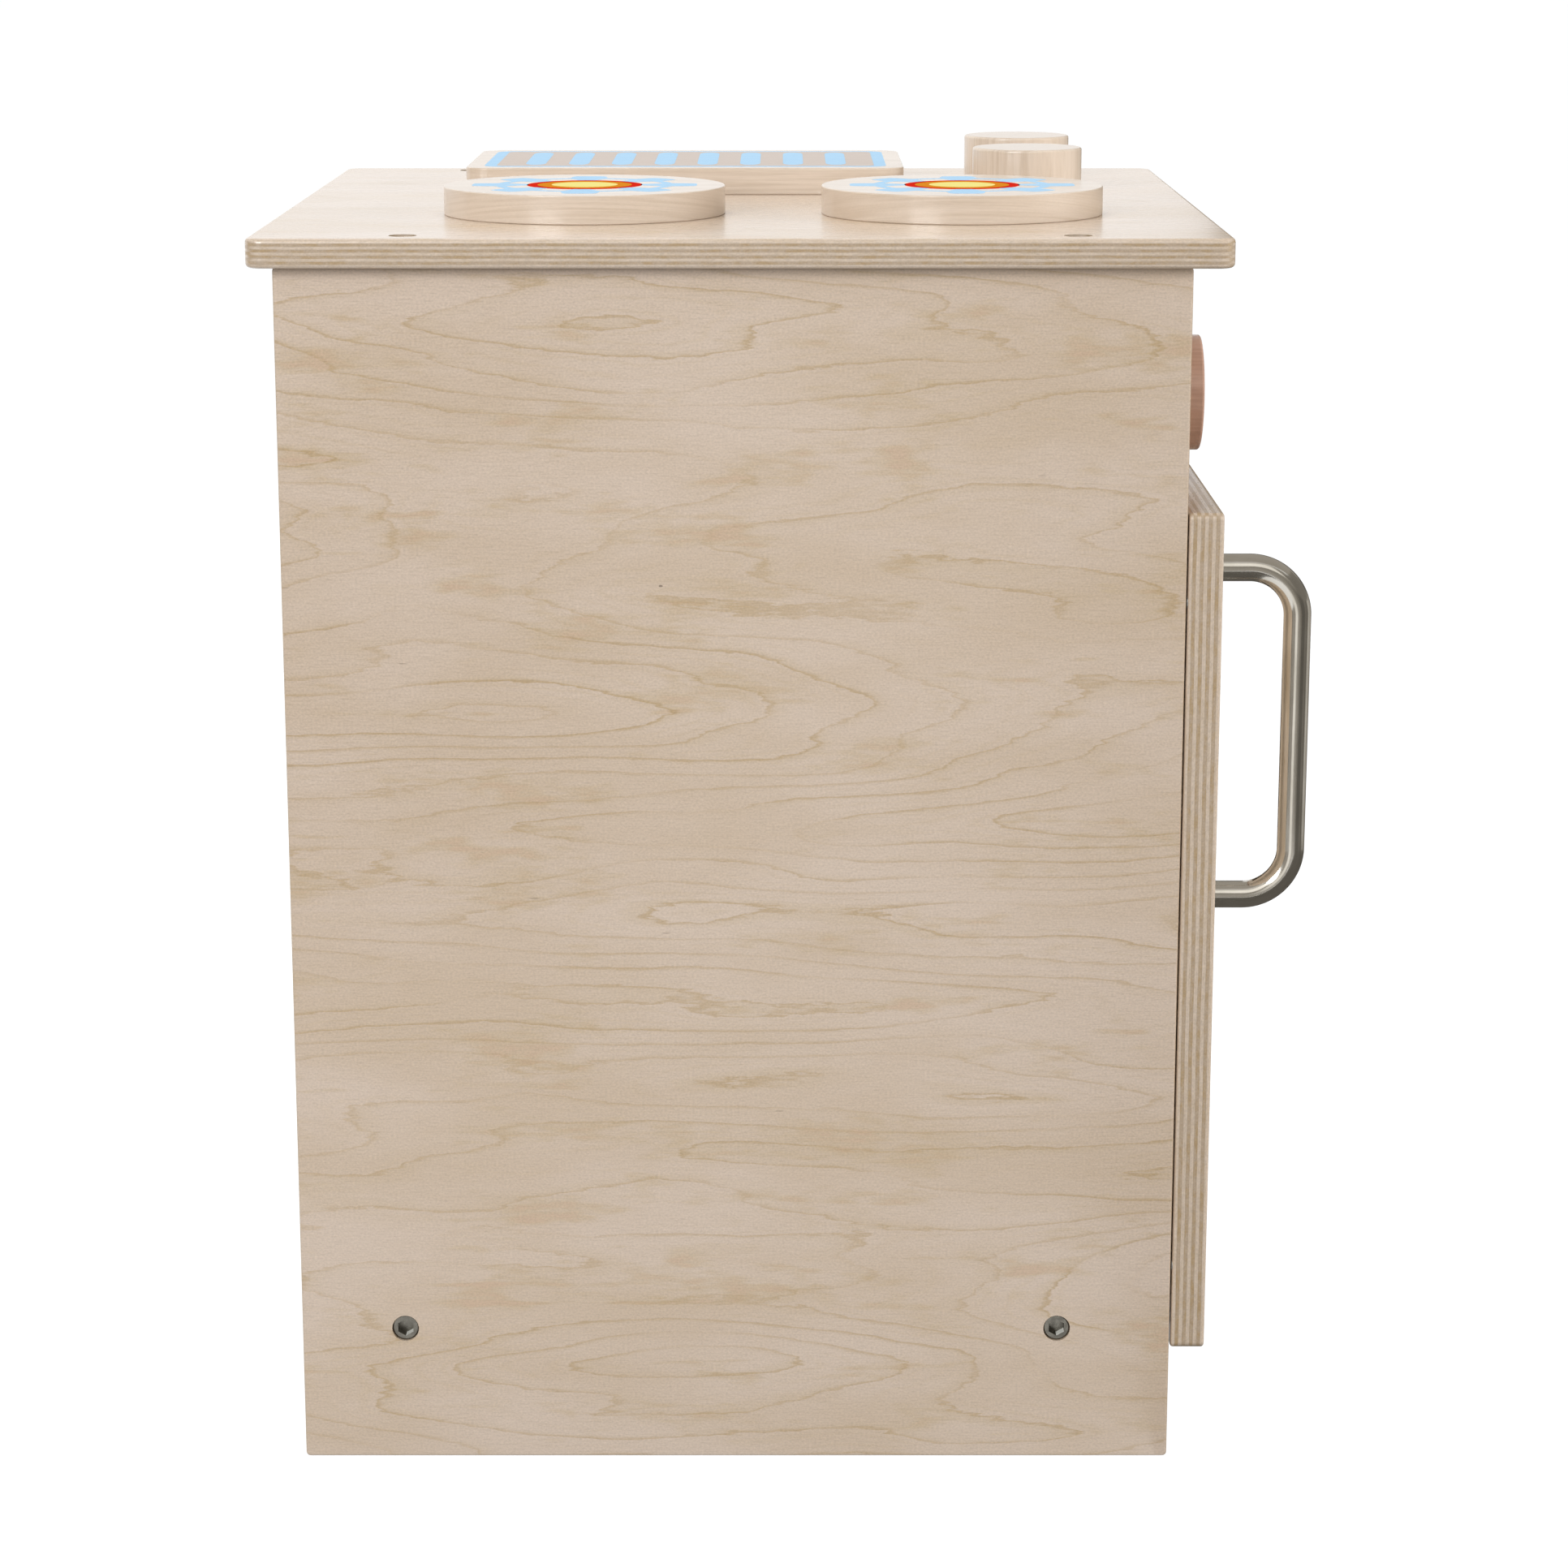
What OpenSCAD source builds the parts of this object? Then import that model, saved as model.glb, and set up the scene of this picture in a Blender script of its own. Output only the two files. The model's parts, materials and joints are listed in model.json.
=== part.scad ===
// Toy oven in birch plywood: a flat-packed cabinet with a side-hung door on a continuous hinge,
// a bolted countertop with two burner plates, a griddle plate and turning knobs, and an oven rack.
// Millimetres. +Z is up, the front faces -Y, and the origin is at the bottom centre of the whole.

/* [Cabinet] */
// Width over the two side panels
body_w = 400; // [375:1:520]
// Depth of a side panel, front edge to rear edge
body_d = 400; // [375:1:480]
// Height of a side panel
body_h = 551; // [530:1:640]
// Thickness of the side, bottom, ceiling and control boards
board_t = 12; // [12:0.5:15]
// Plan radius on the corners of a side panel
side_corner_r = 2; // [1.5:0.5:8]
// Small round along the edges of a side panel
side_arris_r = 1; // [0.5:0.1:1.5]
// Height of the bottom board's underside above the floor
bottom_z = 57; // [54:1:80]
// How far the bottom and ceiling boards sit behind the side panels' front edges
board_setback = 1; // [0.5:0.5:6]
// Thickness of the back board
back_t = 6; // [4:0.5:9]
// Wood left behind the back board's groove
back_inset = 12; // [8:1:25]
// Depth of the back board's grooves in the side panels
groove_depth = 5; // [3:0.5:6]
// How far the control board sits behind the side panels' front edges
control_setback = 6; // [2:0.5:12]

/* [Countertop] */
// Thickness of the countertop
top_t = 13; // [12:0.5:18]
// Overhang at each side
top_side = 10; // [6:0.5:30]
// Overhang at the back
top_back = 11; // [0:0.5:30]
// Overhang at the front
top_front = 17.5; // [5:0.5:35]
// Plan radius on the countertop's corners
top_corner_r = 8; // [4:0.5:30]
// Round along the countertop's edges
top_arris_r = 2; // [0.5:0.1:3.5]

/* [Hob] */
// Thickness of the burner and griddle plates
plate_t = 13; // [11:0.5:20]
// Round along the plates' edges
plate_arris_r = 0.6; // [0.5:0.1:3]
// Diameter of a burner plate
burner_d = 130; // [90:1:138]
// Left panel's outer face to the burners' centres
burner_left = 122.5; // [80:0.5:130]
// Side panels' front edge to the front burner's centre
burner_front = 95.5; // [75:0.5:100]
// Side panels' rear edge to the back burner's centre
burner_rear = 130; // [75:0.5:135]
// Width of the griddle plate
griddle_w = 128; // [90:1:134]
// Length of the griddle plate, front to back
griddle_l = 215; // [150:1:235]
// Plan radius on the griddle plate's corners
griddle_corner_r = 11; // [4:0.5:30]
// Right panel's outer face to the griddle plate
griddle_right = 43; // [36:0.5:50]
// Side panels' front edge to the griddle plate
griddle_front = 119; // [112:0.5:128]

/* [Knobs] */
// Diameter of a knob
knob_d = 53.6; // [40:0.2:56]
// Height of a knob
knob_h = 21.5; // [18:0.5:28]
// Round along a knob's edges
knob_arris_r = 1.2; // [0.5:0.1:3]
// Distance between knobs on the control board
front_knob_pitch = 80; // [62:1:110]
// Door's top edge to the front knobs' centres
front_knob_rise = 38.5; // [32:0.5:50]
// Distance between the two knobs on the countertop
top_knob_pitch = 92; // [62:0.5:100]
// Side panels' front edge to the countertop knobs' centres
top_knob_front = 58; // [40:0.5:76]
// Right panel's outer face to the nearer countertop knob's centre
top_knob_right = 61; // [40:0.5:70]
// Diameter of a knob's bolt
knob_bolt_d = 5; // [4:0.5:6]
// Length of bolt inside a knob's threaded insert
knob_bolt_grip = 10; // [8:0.5:12]
// Outer diameter of a knob's threaded insert
insert_d = 8; // [7.5:0.5:10]
// Length of a knob's threaded insert
insert_len = 12; // [11:0.5:15]
// Thickness of the washer under a knob
spacer_t = 0.5; // [0.3:0.1:1]
// Thickness of the washer behind the board
washer_t = 1; // [0.8:0.1:2]
// Outer diameter of a knob's washers
washer_d = 15; // [13:0.5:20]

/* [Door] */
// Height of the door's bottom edge above the floor
door_z = 52.6; // [46:0.2:53]
// Height of the door
door_h = 390; // [330:0.2:410]
// Thickness of the door
door_t = 15.7; // [14:0.1:18]
// Left panel's outer face to the door's left edge
door_reveal = 1.5; // [0.5:0.1:4]
// Plan radius on the door's corners
door_corner_r = 3; // [2.5:0.5:10]
// Round along the door's edges
door_arris_r = 1.5; // [0.5:0.1:2.4]
// Width of the window opening
window_w = 230; // [160:1:240]
// Height of the window opening
window_h = 210; // [140:1:240]
// Corner radius of the window opening
window_r = 24; // [12:1:40]
// Lap of the window pane on the door
window_lap = 9; // [8:0.5:12]
// Thickness of the window pane
pane_t = 3; // [2:0.5:4]
// Steel screws along each long side of the window pane
pane_screw_n = 3; // [2:1:5]

/* [Handle] */
// Diameter of the handle's rod
handle_d = 12.5; // [9:0.5:14]
// Distance between the handle's legs
handle_pitch = 152; // [96:1:192]
// Door's face to the middle of the grip
handle_reach = 37.7; // [32:0.1:45]
// Bend radius on the rod's centre line
handle_bend_r = 22; // [14:0.5:26]
// Door's left edge to the handle's centre line
handle_inset = 34.5; // [22:0.5:40]
// Door's top edge to the middle of the handle
handle_drop = 105.9; // [100:0.1:140]
// Diameter of the handle's screws
handle_screw_d = 4; // [3:0.5:5]
// Length of the handle's screws inside its legs
handle_screw_bite = 8; // [6:0.5:12]

/* [Hinge] */
// Thickness of a hinge leaf
leaf_t = 0.6; // [0.5:0.1:1]
// Depth that a hinge leaf is let into its board
leaf_sink = 0.35; // [0:0.05:0.35]
// Gap between the closed leaves
leaf_gap = 0.2; // [0.2:0.1:0.6]
// Outer diameter of a knuckle
knuckle_d = 4.2; // [4:0.1:5]
// Diameter of the hinge pin
hinge_pin_d = 2; // [1.6:0.1:2.2]
// Side panel's outer face to the hinge pin's centre line
hinge_out = 2.5; // [2.4:0.1:3.5]
// Length of hinge that one knuckle takes, about
knuckle_pitch = 12.7; // [10:0.1:20]
// Distance left free at each end of the hinge
hinge_end = 5; // [3:0.5:20]
// Side panel's inner face to the edge of a hinge leaf
leaf_edge = 0.5; // [0.2:0.1:2]
// Number of screws in a hinge leaf
hinge_screw_n = 8; // [4:1:12]

/* [Oven rack] */
// Thickness of the rack
rack_t = 9; // [6:0.5:12]
// Top of the bottom board to the rack's underside
rack_rise = 170; // [90:1:190]
// Depth of the rack
rack_d = 350; // [260:1:352]
// Width of a slot in the rack
rack_slot_w = 14; // [8:0.5:20]
// Distance between slots
rack_slot_pitch = 36; // [28:1:50]
// Wood left around the slots
rack_rim = 30; // [26:1:50]
// Diameter of a rack pin
rack_pin_d = 5; // [4:0.5:6]
// Length of a rack pin out of the side panel
rack_pin_out = 12; // [8:1:16]
// Depth of a rack pin's hole
rack_pin_in = 8; // [6:0.5:9]
// Rack's front and rear edges to the pins
rack_pin_inset = 45; // [20:1:100]
// Plan radius on the rack's corners
rack_corner_r = 6; // [2:0.5:15]
// Round along the rack's edges
rack_arris_r = 1; // [0.5:0.1:2]

/* [Fixings] */
// Diameter of a connector bolt
bolt_d = 6; // [5:0.5:6]
// Diameter of a connector bolt's head
bolt_head_d = 11.8; // [10:0.2:13]
// Height of a connector bolt's head
bolt_head_h = 6.8; // [6:0.2:7.4]
// Distance from the surface down to a connector bolt's head
bolt_sink = 1.2; // [0.5:0.1:2]
// Socket of a connector bolt's head, across the flats
bolt_socket = 7; // [5:0.1:7]
// Length of a connector bolt under its head
bolt_len = 40; // [38:1:46]
// Diameter of a barrel nut
nut_d = 10; // [9:0.5:11]
// Length of a barrel nut
nut_len = 10; // [9:0.5:10]
// Board's end to a barrel nut's centre
nut_offset = 28; // [22:1:30]
// Width of the driver slot in a barrel nut
nut_slot_w = 1.4; // [1:0.1:2]
// Metal left under a connector bolt's socket
socket_floor = 1.8; // [1:0.1:3]
// Round on the rims of bolt heads, inserts, pins and magnets
rim_r = 0.5; // [0.2:0.1:0.8]
// Depth of a hole beyond the tip of its bolt or machine screw
tip_room = 2; // [1:0.5:4]
// Side panel's front edge to the lower connector bolt
side_bolt_front = 52; // [40:1:70]
// Side panel's rear edge to the lower connector bolt
side_bolt_rear = 47.5; // [38:0.5:70]
// Side panel's front edge to the upper connector bolt
top_bolt_front = 50; // [40:1:70]
// Side panel's rear edge to the upper connector bolt
top_bolt_rear = 56.5; // [38:0.5:70]
// Diameter of a dowel
dowel_d = 6; // [5:0.5:7]
// Length of a dowel
dowel_len = 24; // [20:1:30]
// Bevel at a dowel's ends
dowel_bevel = 0.8; // [0.4:0.1:1.2]
// Depth of a dowel's hole in a side panel
dowel_in_side = 9; // [7:0.5:10]
// Side panel's front and rear edges to the ceiling board's dowels
dowel_inset = 90; // [40:1:120]
// Control board's top and bottom edges to its dowels
dowel_end = 25; // [15:1:35]
// Diameter of a door magnet
magnet_d = 8; // [6:0.5:9]
// Length of a door magnet
magnet_len = 6; // [4:0.5:10]
// How far a door magnet stands out of the side panel's edge
magnet_proud = 0.3; // [0.1:0.1:0.3]
// Thickness of a steel strike disc in the door
strike_t = 1.5; // [1:0.1:3]
// How far a strike disc stands out of the door's back
strike_proud = 0.1; // [0:0.05:0.15]
// Door's top and bottom edges to the magnets
magnet_end = 40; // [20:1:90]
// Diameter of the screws under the hob plates
plate_screw_d = 3.5; // [3:0.5:4]
// Distance between the two screws under a burner plate
burner_screw_pitch = 64; // [40:1:80]
// Griddle plate's edges to the screws under it
griddle_screw_inset = 28; // [15:1:40]
// Length of those screws above the countertop's top
plate_screw_bite = 8; // [5:0.5:9]
// Diameter of the back board's screws
back_screw_d = 3; // [2.5:0.5:3.5]
// Side panels' inner faces to the back board's outer screws
back_screw_inset = 50; // [20:1:90]
// Length of the back board's screws
back_screw_len = 20; // [16:1:30]
// Diameter of the hinge and window screws
small_screw_d = 2.5; // [2:0.5:3]
// Length of the hinge and window screws
small_screw_len = 10; // [8:0.5:12]

/* [Clearances] */
// Radial clearance of a turning bolt or pin
run_fit = 0.05; // [0.03:0.01:0.1]
// Radial clearance of a screw, dowel, nut or insert in its hole
seat_fit = 0.05; // [0.03:0.01:0.1]
// Radial clearance of a bolt in its through hole
pass_fit = 0.25; // [0.1:0.05:0.4]
// Clearance around an inlaid or grooved board
board_fit = 0.1; // [0.1:0.05:0.3]
// Axial gap where one piece turns on another
turn_gap = 0.1; // [0.1:0.05:0.3]
// Gap between a knuckle and its neighbours
knuckle_gap = 0.3; // [0.2:0.05:0.5]
// Gap left between the rack and the boards around it
rack_gap = 0.5; // [0.3:0.1:1]

/* [Hidden] */
$fn = 48;
arris_steps = 4;
// How far one solid runs into the next, and how far a cut runs out of its face
eps = 0.01;
over = 1;

birch = [0.80, 0.72, 0.64];
pale_birch = [0.90, 0.83, 0.75];
terracotta = [0.69, 0.50, 0.43];
steel = [0.70, 0.69, 0.66];
dark_nickel = [0.36, 0.35, 0.32];
brass = [0.80, 0.66, 0.38];
nylon = [0.93, 0.93, 0.91];
acrylic = [0.75, 0.85, 0.88, 0.4];

// Front to back: the whole is centred, from the handle's grip to the countertop's rear edge
door_gap = 2 * (leaf_t - leaf_sink) + leaf_gap;
front_reach = max(top_front, door_gap + door_t + handle_reach + handle_d / 2);
front_y = front_reach - (front_reach + body_d + top_back) / 2;
back_y = front_y + body_d;
door_back_y = front_y - door_gap;
door_front_y = door_back_y - door_t;
control_y = front_y + control_setback;
back_board_y = back_y - back_inset - back_t;
board_d = back_board_y - front_y - board_setback;

// Heights
door_top = door_z + door_h;
ceiling_z = door_top - board_t;
cavity_z = bottom_z + board_t;
rack_z = cavity_z + rack_rise;
top_z = body_h + top_t;
front_knob_z = door_top + front_knob_rise;

// Knobs and rack
knob_base = spacer_t + turn_gap;
rack_y = back_board_y - rack_gap - rack_d;

// Side to side
inner_w = body_w - 2 * board_t;
inner_x = inner_w / 2;
rack_w = inner_w - 2 * rack_gap;
side_mid_x = (body_w - board_t) / 2;
door_left_x = door_reveal - body_w / 2;
door_w = body_w - door_reveal;
handle_x = door_left_x + handle_inset;
burner_x = burner_left - body_w / 2;
griddle_x = body_w / 2 - griddle_right - griddle_w;

// Places of what repeats
bolt_sink_depth = bolt_sink + bolt_head_h;
side_bolt_ys = [front_y + side_bolt_front, back_y - side_bolt_rear];
top_bolt_ys = [front_y + top_bolt_front, back_y - top_bolt_rear];
ceiling_dowel_ys = [front_y + dowel_inset, back_y - dowel_inset];
control_dowel_zs = [door_top + dowel_end, body_h - dowel_end];
rack_pin_ys = [rack_y + rack_pin_inset, rack_y + rack_d - rack_pin_inset];
front_burner = [burner_x, front_y + burner_front];
back_burner = [burner_x, back_y - burner_rear];
griddle_centre = [griddle_x + griddle_w / 2, front_y + griddle_front + griddle_l / 2];
front_knob_xs = [for (i = [-1:1]) i * front_knob_pitch];
top_knob_xs = [for (i = [1, 0]) body_w / 2 - top_knob_right - i * top_knob_pitch];
top_knob_y = front_y + top_knob_front;
magnet_zs = [door_z + magnet_end, door_top - magnet_end];
burner_screws = [for (s = [-1, 1]) [s * burner_screw_pitch / 2, 0]];
griddle_screws = [for (sx = [-1, 1], sy = [-1, 1])
                  [sx * (griddle_w / 2 - griddle_screw_inset),
                   sy * (griddle_l / 2 - griddle_screw_inset)]];
back_screw_xs = [for (s = [-1, 0, 1]) s * (inner_x - back_screw_inset)];

// Hinge: an odd number of knuckles, so that the fixed leaf holds both ends of the pin
hinge_x = body_w / 2 + hinge_out;
hinge_y = front_y - door_gap / 2;
leaf_reach = hinge_out + board_t - leaf_edge;
hinge_len = door_h - 2 * hinge_end;
knuckle_n = 2 * floor(hinge_len / knuckle_pitch / 2) + 1;
knuckle_step = hinge_len / knuckle_n;
hinge_screw_zs = [for (i = [0:hinge_screw_n - 1]) door_z + hinge_end
                  + hinge_len * (i + 0.5) / hinge_screw_n];

// Window
door_mid = [door_left_x + door_w / 2, door_z + door_h / 2];
pane_screws = [for (sx = [-1, 1], i = [0:pane_screw_n - 1])
               [sx * (window_w + window_lap) / 2,
                (i / (pane_screw_n - 1) - 0.5) * (window_h - 2 * window_r)]];

// Points on an arc about c, from angle a to angle b
function arc(c, r, a, b, steps) =
    [for (i = [0:steps]) let (t = a + (b - a) * i / steps) c + r * [cos(t), sin(t)]];

// Half section of a board of thickness t whose edge, rounded by r, lies at the given reach
function edge_section(reach, t, r) =
    r > 0 ? concat([[0, 0]], arc([reach - r, r], r, -90, 0, arris_steps),
                   arc([reach - r, t - r], r, 0, 90, arris_steps), [[0, t]])
          : [[0, 0], [reach, 0], [reach, t], [0, t]];

// Board from the origin towards +x, +y and +z, with rounded plan corners and edges
module rounded_board(size, corner_r, arris_r = 0) {
    section = edge_section(corner_r, size.z, arris_r);
    inner = [size.x - 2 * corner_r, size.y - 2 * corner_r];
    corners = [[inner.x, 0], inner, [0, inner.y], [0, 0]];
    translate([corner_r, corner_r, 0]) {
        cube([inner.x, inner.y, size.z]);
        for (k = [0:3]) {
            run = k % 2 == 0 ? inner.y : inner.x;
            translate(corners[k]) rotate(90 * k) translate([0, run, 0]) {
                rotate([90, 0, 0]) linear_extrude(run) polygon(section);
                rotate_extrude(angle = 90) polygon(section);
            }
        }
    }
}

// Opening with round ends, centred, along y
module slot(length, width, t) {
    run = length - width;
    translate([-width / 2, -run / 2, 0]) cube([width, run, t]);
    for (end = [0, 1])
        rotate(180 * end) translate([0, run / 2, 0])
            rotate_extrude(angle = 180) square([width / 2, t]);
}

// Round plate with rounded edges
module disc(d, t, arris_r) {
    rotate_extrude() polygon(edge_section(d / 2, t, arris_r));
}

module both_sides() {
    children();
    mirror([1, 0, 0]) children();
}

// Turns a shape that stands on z = 0 so that it stands out of a face that looks to -y
module facing_front() {
    rotate([90, 0, 0]) children();
}

// Turns a shape that stands on z = 0 so that it stands out of a face that looks to -x
module facing_left() {
    rotate([0, -90, 0]) children();
}

// Countersunk screw with its head's face at z = 0 and its point down, grown by clear for its hole
module countersunk_screw(d, length, clear = 0) {
    head_r = d * 0.92;
    tip = d * 0.6;
    difference() {
        union() {
            translate([0, 0, tip - length]) cylinder(r = d / 2 + clear, h = length - tip);
            translate([0, 0, -length]) cylinder(r1 = d * 0.1, r2 = d / 2 + clear, h = tip);
            translate([0, 0, d / 2 - head_r])
                cylinder(r1 = d / 2 + clear, r2 = head_r + clear, h = head_r - d / 2);
            if (clear > 0) translate([0, 0, -eps]) cylinder(r = head_r + clear, h = over);
        }
        if (clear == 0) cross_recess(d);
    }
}

// Pan-head screw whose head stands on z = 0, with its shank down
module pan_screw(d, length) {
    head_r = d;
    head_h = d * 0.6;
    difference() {
        union() {
            translate([0, 0, -length]) cylinder(d = d, h = length + eps);
            rotate_extrude() polygon(concat([[0, 0], [head_r, 0]],
                arc([head_r - head_h / 2, head_h / 2], head_h / 2, 0, 90, arris_steps),
                [[0, head_h]]));
        }
        translate([0, 0, head_h]) cross_recess(d);
    }
}

// Cross recess, cut down from z = 0
module cross_recess(d) {
    blade = [d * 1.1, d * 0.22, d * 0.3];
    for (a = [45, 135])
        rotate(a) translate([-blade.x / 2, -blade.y / 2, -blade.z])
            cube([blade.x, blade.y, blade.z + over]);
}

// Connector bolt whose head's face is at z = 0, with its shank down
module connector_bolt() {
    socket_depth = bolt_head_h - socket_floor;
    difference() {
        union() {
            translate([0, 0, -bolt_head_h]) disc(bolt_head_d, bolt_head_h, rim_r);
            translate([0, 0, -bolt_head_h - bolt_len]) cylinder(d = bolt_d, h = bolt_len + eps);
        }
        translate([0, 0, -socket_depth])
            cylinder(d = bolt_socket / cos(30), h = socket_depth + over, $fn = 6);
    }
}

// Counterbored hole for a connector bolt, cut down from z = 0 through a board
module connector_hole(t) {
    translate([0, 0, -bolt_sink_depth])
        cylinder(r = bolt_head_d / 2 + pass_fit, h = bolt_sink_depth + over);
    translate([0, 0, -t - over]) cylinder(r = bolt_d / 2 + pass_fit, h = t + 2 * over);
}

// Holes in a board's end for a connector bolt, along -z, and its barrel nut, whose mouth is at -x
module connector_socket(t) {
    reach = bolt_len + bolt_sink_depth - t + tip_room;
    translate([0, 0, -reach]) cylinder(r = bolt_d / 2 + pass_fit, h = reach + over);
    translate([nut_len / 2, 0, -nut_offset]) facing_left()
        cylinder(r = nut_d / 2 + seat_fit, h = board_t);
}

// Barrel nut along x, centred on its bolt, with a driver slot in its -x end
module barrel_nut() {
    difference() {
        translate([nut_len / 2, 0, 0]) facing_left() cylinder(d = nut_d, h = nut_len);
        translate([0, 0, -nut_d]) cylinder(r = bolt_d / 2 + run_fit, h = 2 * nut_d);
        translate([-nut_len / 2 - over, -nut_d, -nut_slot_w / 2])
            cube([nut_slot_w + over, 2 * nut_d, nut_slot_w]);
    }
}

// Places of the connector bolts on the left, each with its axis along z and its head up
module at_side_bolts() {
    for (y = side_bolt_ys)
        translate([-body_w / 2, y, bottom_z + board_t / 2]) rotate([0, -90, 0]) children();
}

module at_top_bolts() {
    for (y = top_bolt_ys) translate([-side_mid_x, y, top_z]) children();
}

// Side panel on the left, with every hole and groove that both sides share
module side_panel() {
    nut_z = body_h - nut_offset;
    difference() {
        translate([-body_w / 2, front_y, 0]) rotate([90, 0, 90])
            rounded_board([body_d, body_h, board_t], side_corner_r, side_arris_r);
        at_side_bolts() connector_hole(board_t);
        for (y = top_bolt_ys)
            translate([-side_mid_x, y, body_h]) mirror([1, 0, 0]) connector_socket(top_t);
        for (y = ceiling_dowel_ys) translate([-inner_x, y, ceiling_z + board_t / 2]) dowel_hole();
        for (z = control_dowel_zs)
            translate([-inner_x, control_y + board_t / 2, z]) dowel_hole();
        for (y = rack_pin_ys) translate([-inner_x, y, rack_z]) facing_left()
            translate([0, 0, -over])
                cylinder(r = rack_pin_d / 2 + seat_fit, h = rack_pin_in + over);
        translate([-inner_x - groove_depth, back_board_y - board_fit, bottom_z])
            cube([groove_depth + over, back_t + 2 * board_fit, body_h]);
    }
}

// Blind hole in a side panel's inner face
module dowel_hole() {
    facing_left() translate([0, 0, -over])
        cylinder(r = dowel_d / 2 + seat_fit, h = dowel_in_side + over);
}

// Hole for the rest of a dowel in the end of a board between the side panels
module dowel_end_hole() {
    rotate([0, 90, 0]) translate([0, 0, -over])
        cylinder(r = dowel_d / 2 + seat_fit, h = dowel_len - dowel_in_side + 2 * over);
}

module left_side_panel() {
    color(birch) difference() {
        side_panel();
        for (z = magnet_zs) translate([-side_mid_x, front_y, z]) facing_front()
            translate([0, 0, magnet_proud - magnet_len])
                cylinder(r = magnet_d / 2 + seat_fit, h = magnet_len);
    }
}

module right_side_panel() {
    color(birch) difference() {
        mirror([1, 0, 0]) side_panel();
        leaf_seat(front_y - over);
        at_frame_screws() countersunk_screw(small_screw_d, small_screw_len, seat_fit);
    }
}

module bottom_board() {
    color(birch) difference() {
        translate([-inner_x, front_y + board_setback, bottom_z]) cube([inner_w, board_d, board_t]);
        both_sides() for (y = side_bolt_ys)
            translate([-inner_x, y, bottom_z + board_t / 2]) rotate([0, -90, 0])
                connector_socket(board_t);
        at_back_screws(bottom_z) countersunk_screw(back_screw_d, back_screw_len, seat_fit);
    }
}

module ceiling_board() {
    color(birch) difference() {
        translate([-inner_x, front_y + board_setback, ceiling_z]) cube([inner_w, board_d, board_t]);
        both_sides() for (y = ceiling_dowel_ys)
            translate([-inner_x, y, ceiling_z + board_t / 2]) dowel_end_hole();
        at_back_screws(ceiling_z) countersunk_screw(back_screw_d, back_screw_len, seat_fit);
    }
}

module back_board() {
    color(birch) difference() {
        w = inner_w + 2 * (groove_depth - board_fit);
        translate([-w / 2, back_board_y, bottom_z]) cube([w, back_t, body_h - bottom_z]);
        for (z = [bottom_z, ceiling_z])
            at_back_screws(z) countersunk_screw(back_screw_d, back_screw_len, seat_fit);
    }
}

// Places of the screws into the rear edge of the board whose underside is at z
module at_back_screws(z) {
    for (x = back_screw_xs)
        translate([x, back_board_y + back_t, z + board_t / 2]) rotate([-90, 0, 0]) children();
}

module control_board() {
    color(birch) difference() {
        translate([-inner_x, control_y, door_top]) cube([inner_w, board_t, body_h - door_top]);
        both_sides() for (z = control_dowel_zs)
            translate([-inner_x, control_y + board_t / 2, z]) dowel_end_hole();
        for (x = front_knob_xs) translate([x, control_y, front_knob_z]) facing_front()
            knob_board_hole(board_t);
    }
}

module countertop() {
    color(birch) difference() {
        translate([-body_w / 2 - top_side, front_y - top_front, body_h])
            rounded_board([body_w + 2 * top_side, body_d + top_front + top_back, top_t],
                          top_corner_r, top_arris_r);
        both_sides() at_top_bolts() connector_hole(top_t);
        for (x = top_knob_xs) translate([x, top_knob_y, top_z]) knob_board_hole(top_t);
        at_plate_screws() plate_screw(seat_fit);
    }
}

// Hole for a knob's bolt through a board whose outer face is at z = 0
module knob_board_hole(t) {
    translate([0, 0, -t - over]) cylinder(r = knob_bolt_d / 2 + run_fit, h = t + 2 * over);
}

module burner_plate(centre) {
    color(pale_birch) difference() {
        translate([centre.x, centre.y, top_z]) disc(burner_d, plate_t, plate_arris_r);
        at_plate_screws() plate_screw(seat_fit);
    }
}

module griddle_plate() {
    color(pale_birch) difference() {
        translate([griddle_x, front_y + griddle_front, top_z])
            rounded_board([griddle_w, griddle_l, plate_t], griddle_corner_r, plate_arris_r);
        at_plate_screws() plate_screw(seat_fit);
    }
}

// Places of the screws that come up through the countertop, with their heads down
module at_plate_screws() {
    places = concat([for (p = burner_screws) front_burner + p],
                    [for (p = burner_screws) back_burner + p],
                    [for (p = griddle_screws) griddle_centre + p]);
    for (p = places) translate([p.x, p.y, body_h]) rotate([180, 0, 0]) children();
}

module plate_screw(clear = 0) {
    countersunk_screw(plate_screw_d, top_t + plate_screw_bite, clear);
}

module plate_screws() {
    color(steel) at_plate_screws() plate_screw();
}

module back_screws() {
    color(steel) for (z = [bottom_z, ceiling_z])
        at_back_screws(z) countersunk_screw(back_screw_d, back_screw_len);
}

module connector_bolts() {
    color(dark_nickel) both_sides() {
        at_side_bolts() translate([0, 0, -bolt_sink]) connector_bolt();
        at_top_bolts() translate([0, 0, -bolt_sink]) connector_bolt();
    }
}

module barrel_nuts() {
    color(brass) both_sides() {
        for (y = side_bolt_ys)
            translate([nut_offset - inner_x, y, bottom_z + board_t / 2]) rotate([0, -90, 0])
                barrel_nut();
        for (y = top_bolt_ys)
            translate([-side_mid_x, y, body_h - nut_offset]) mirror([1, 0, 0]) barrel_nut();
    }
}

// Fluted pin with bevelled ends, standing on z = 0
module dowel() {
    r = dowel_d / 2;
    rotate_extrude() polygon([[0, 0], [r - dowel_bevel, 0], [r, dowel_bevel],
        [r, dowel_len - dowel_bevel], [r - dowel_bevel, dowel_len], [0, dowel_len]]);
}

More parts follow.
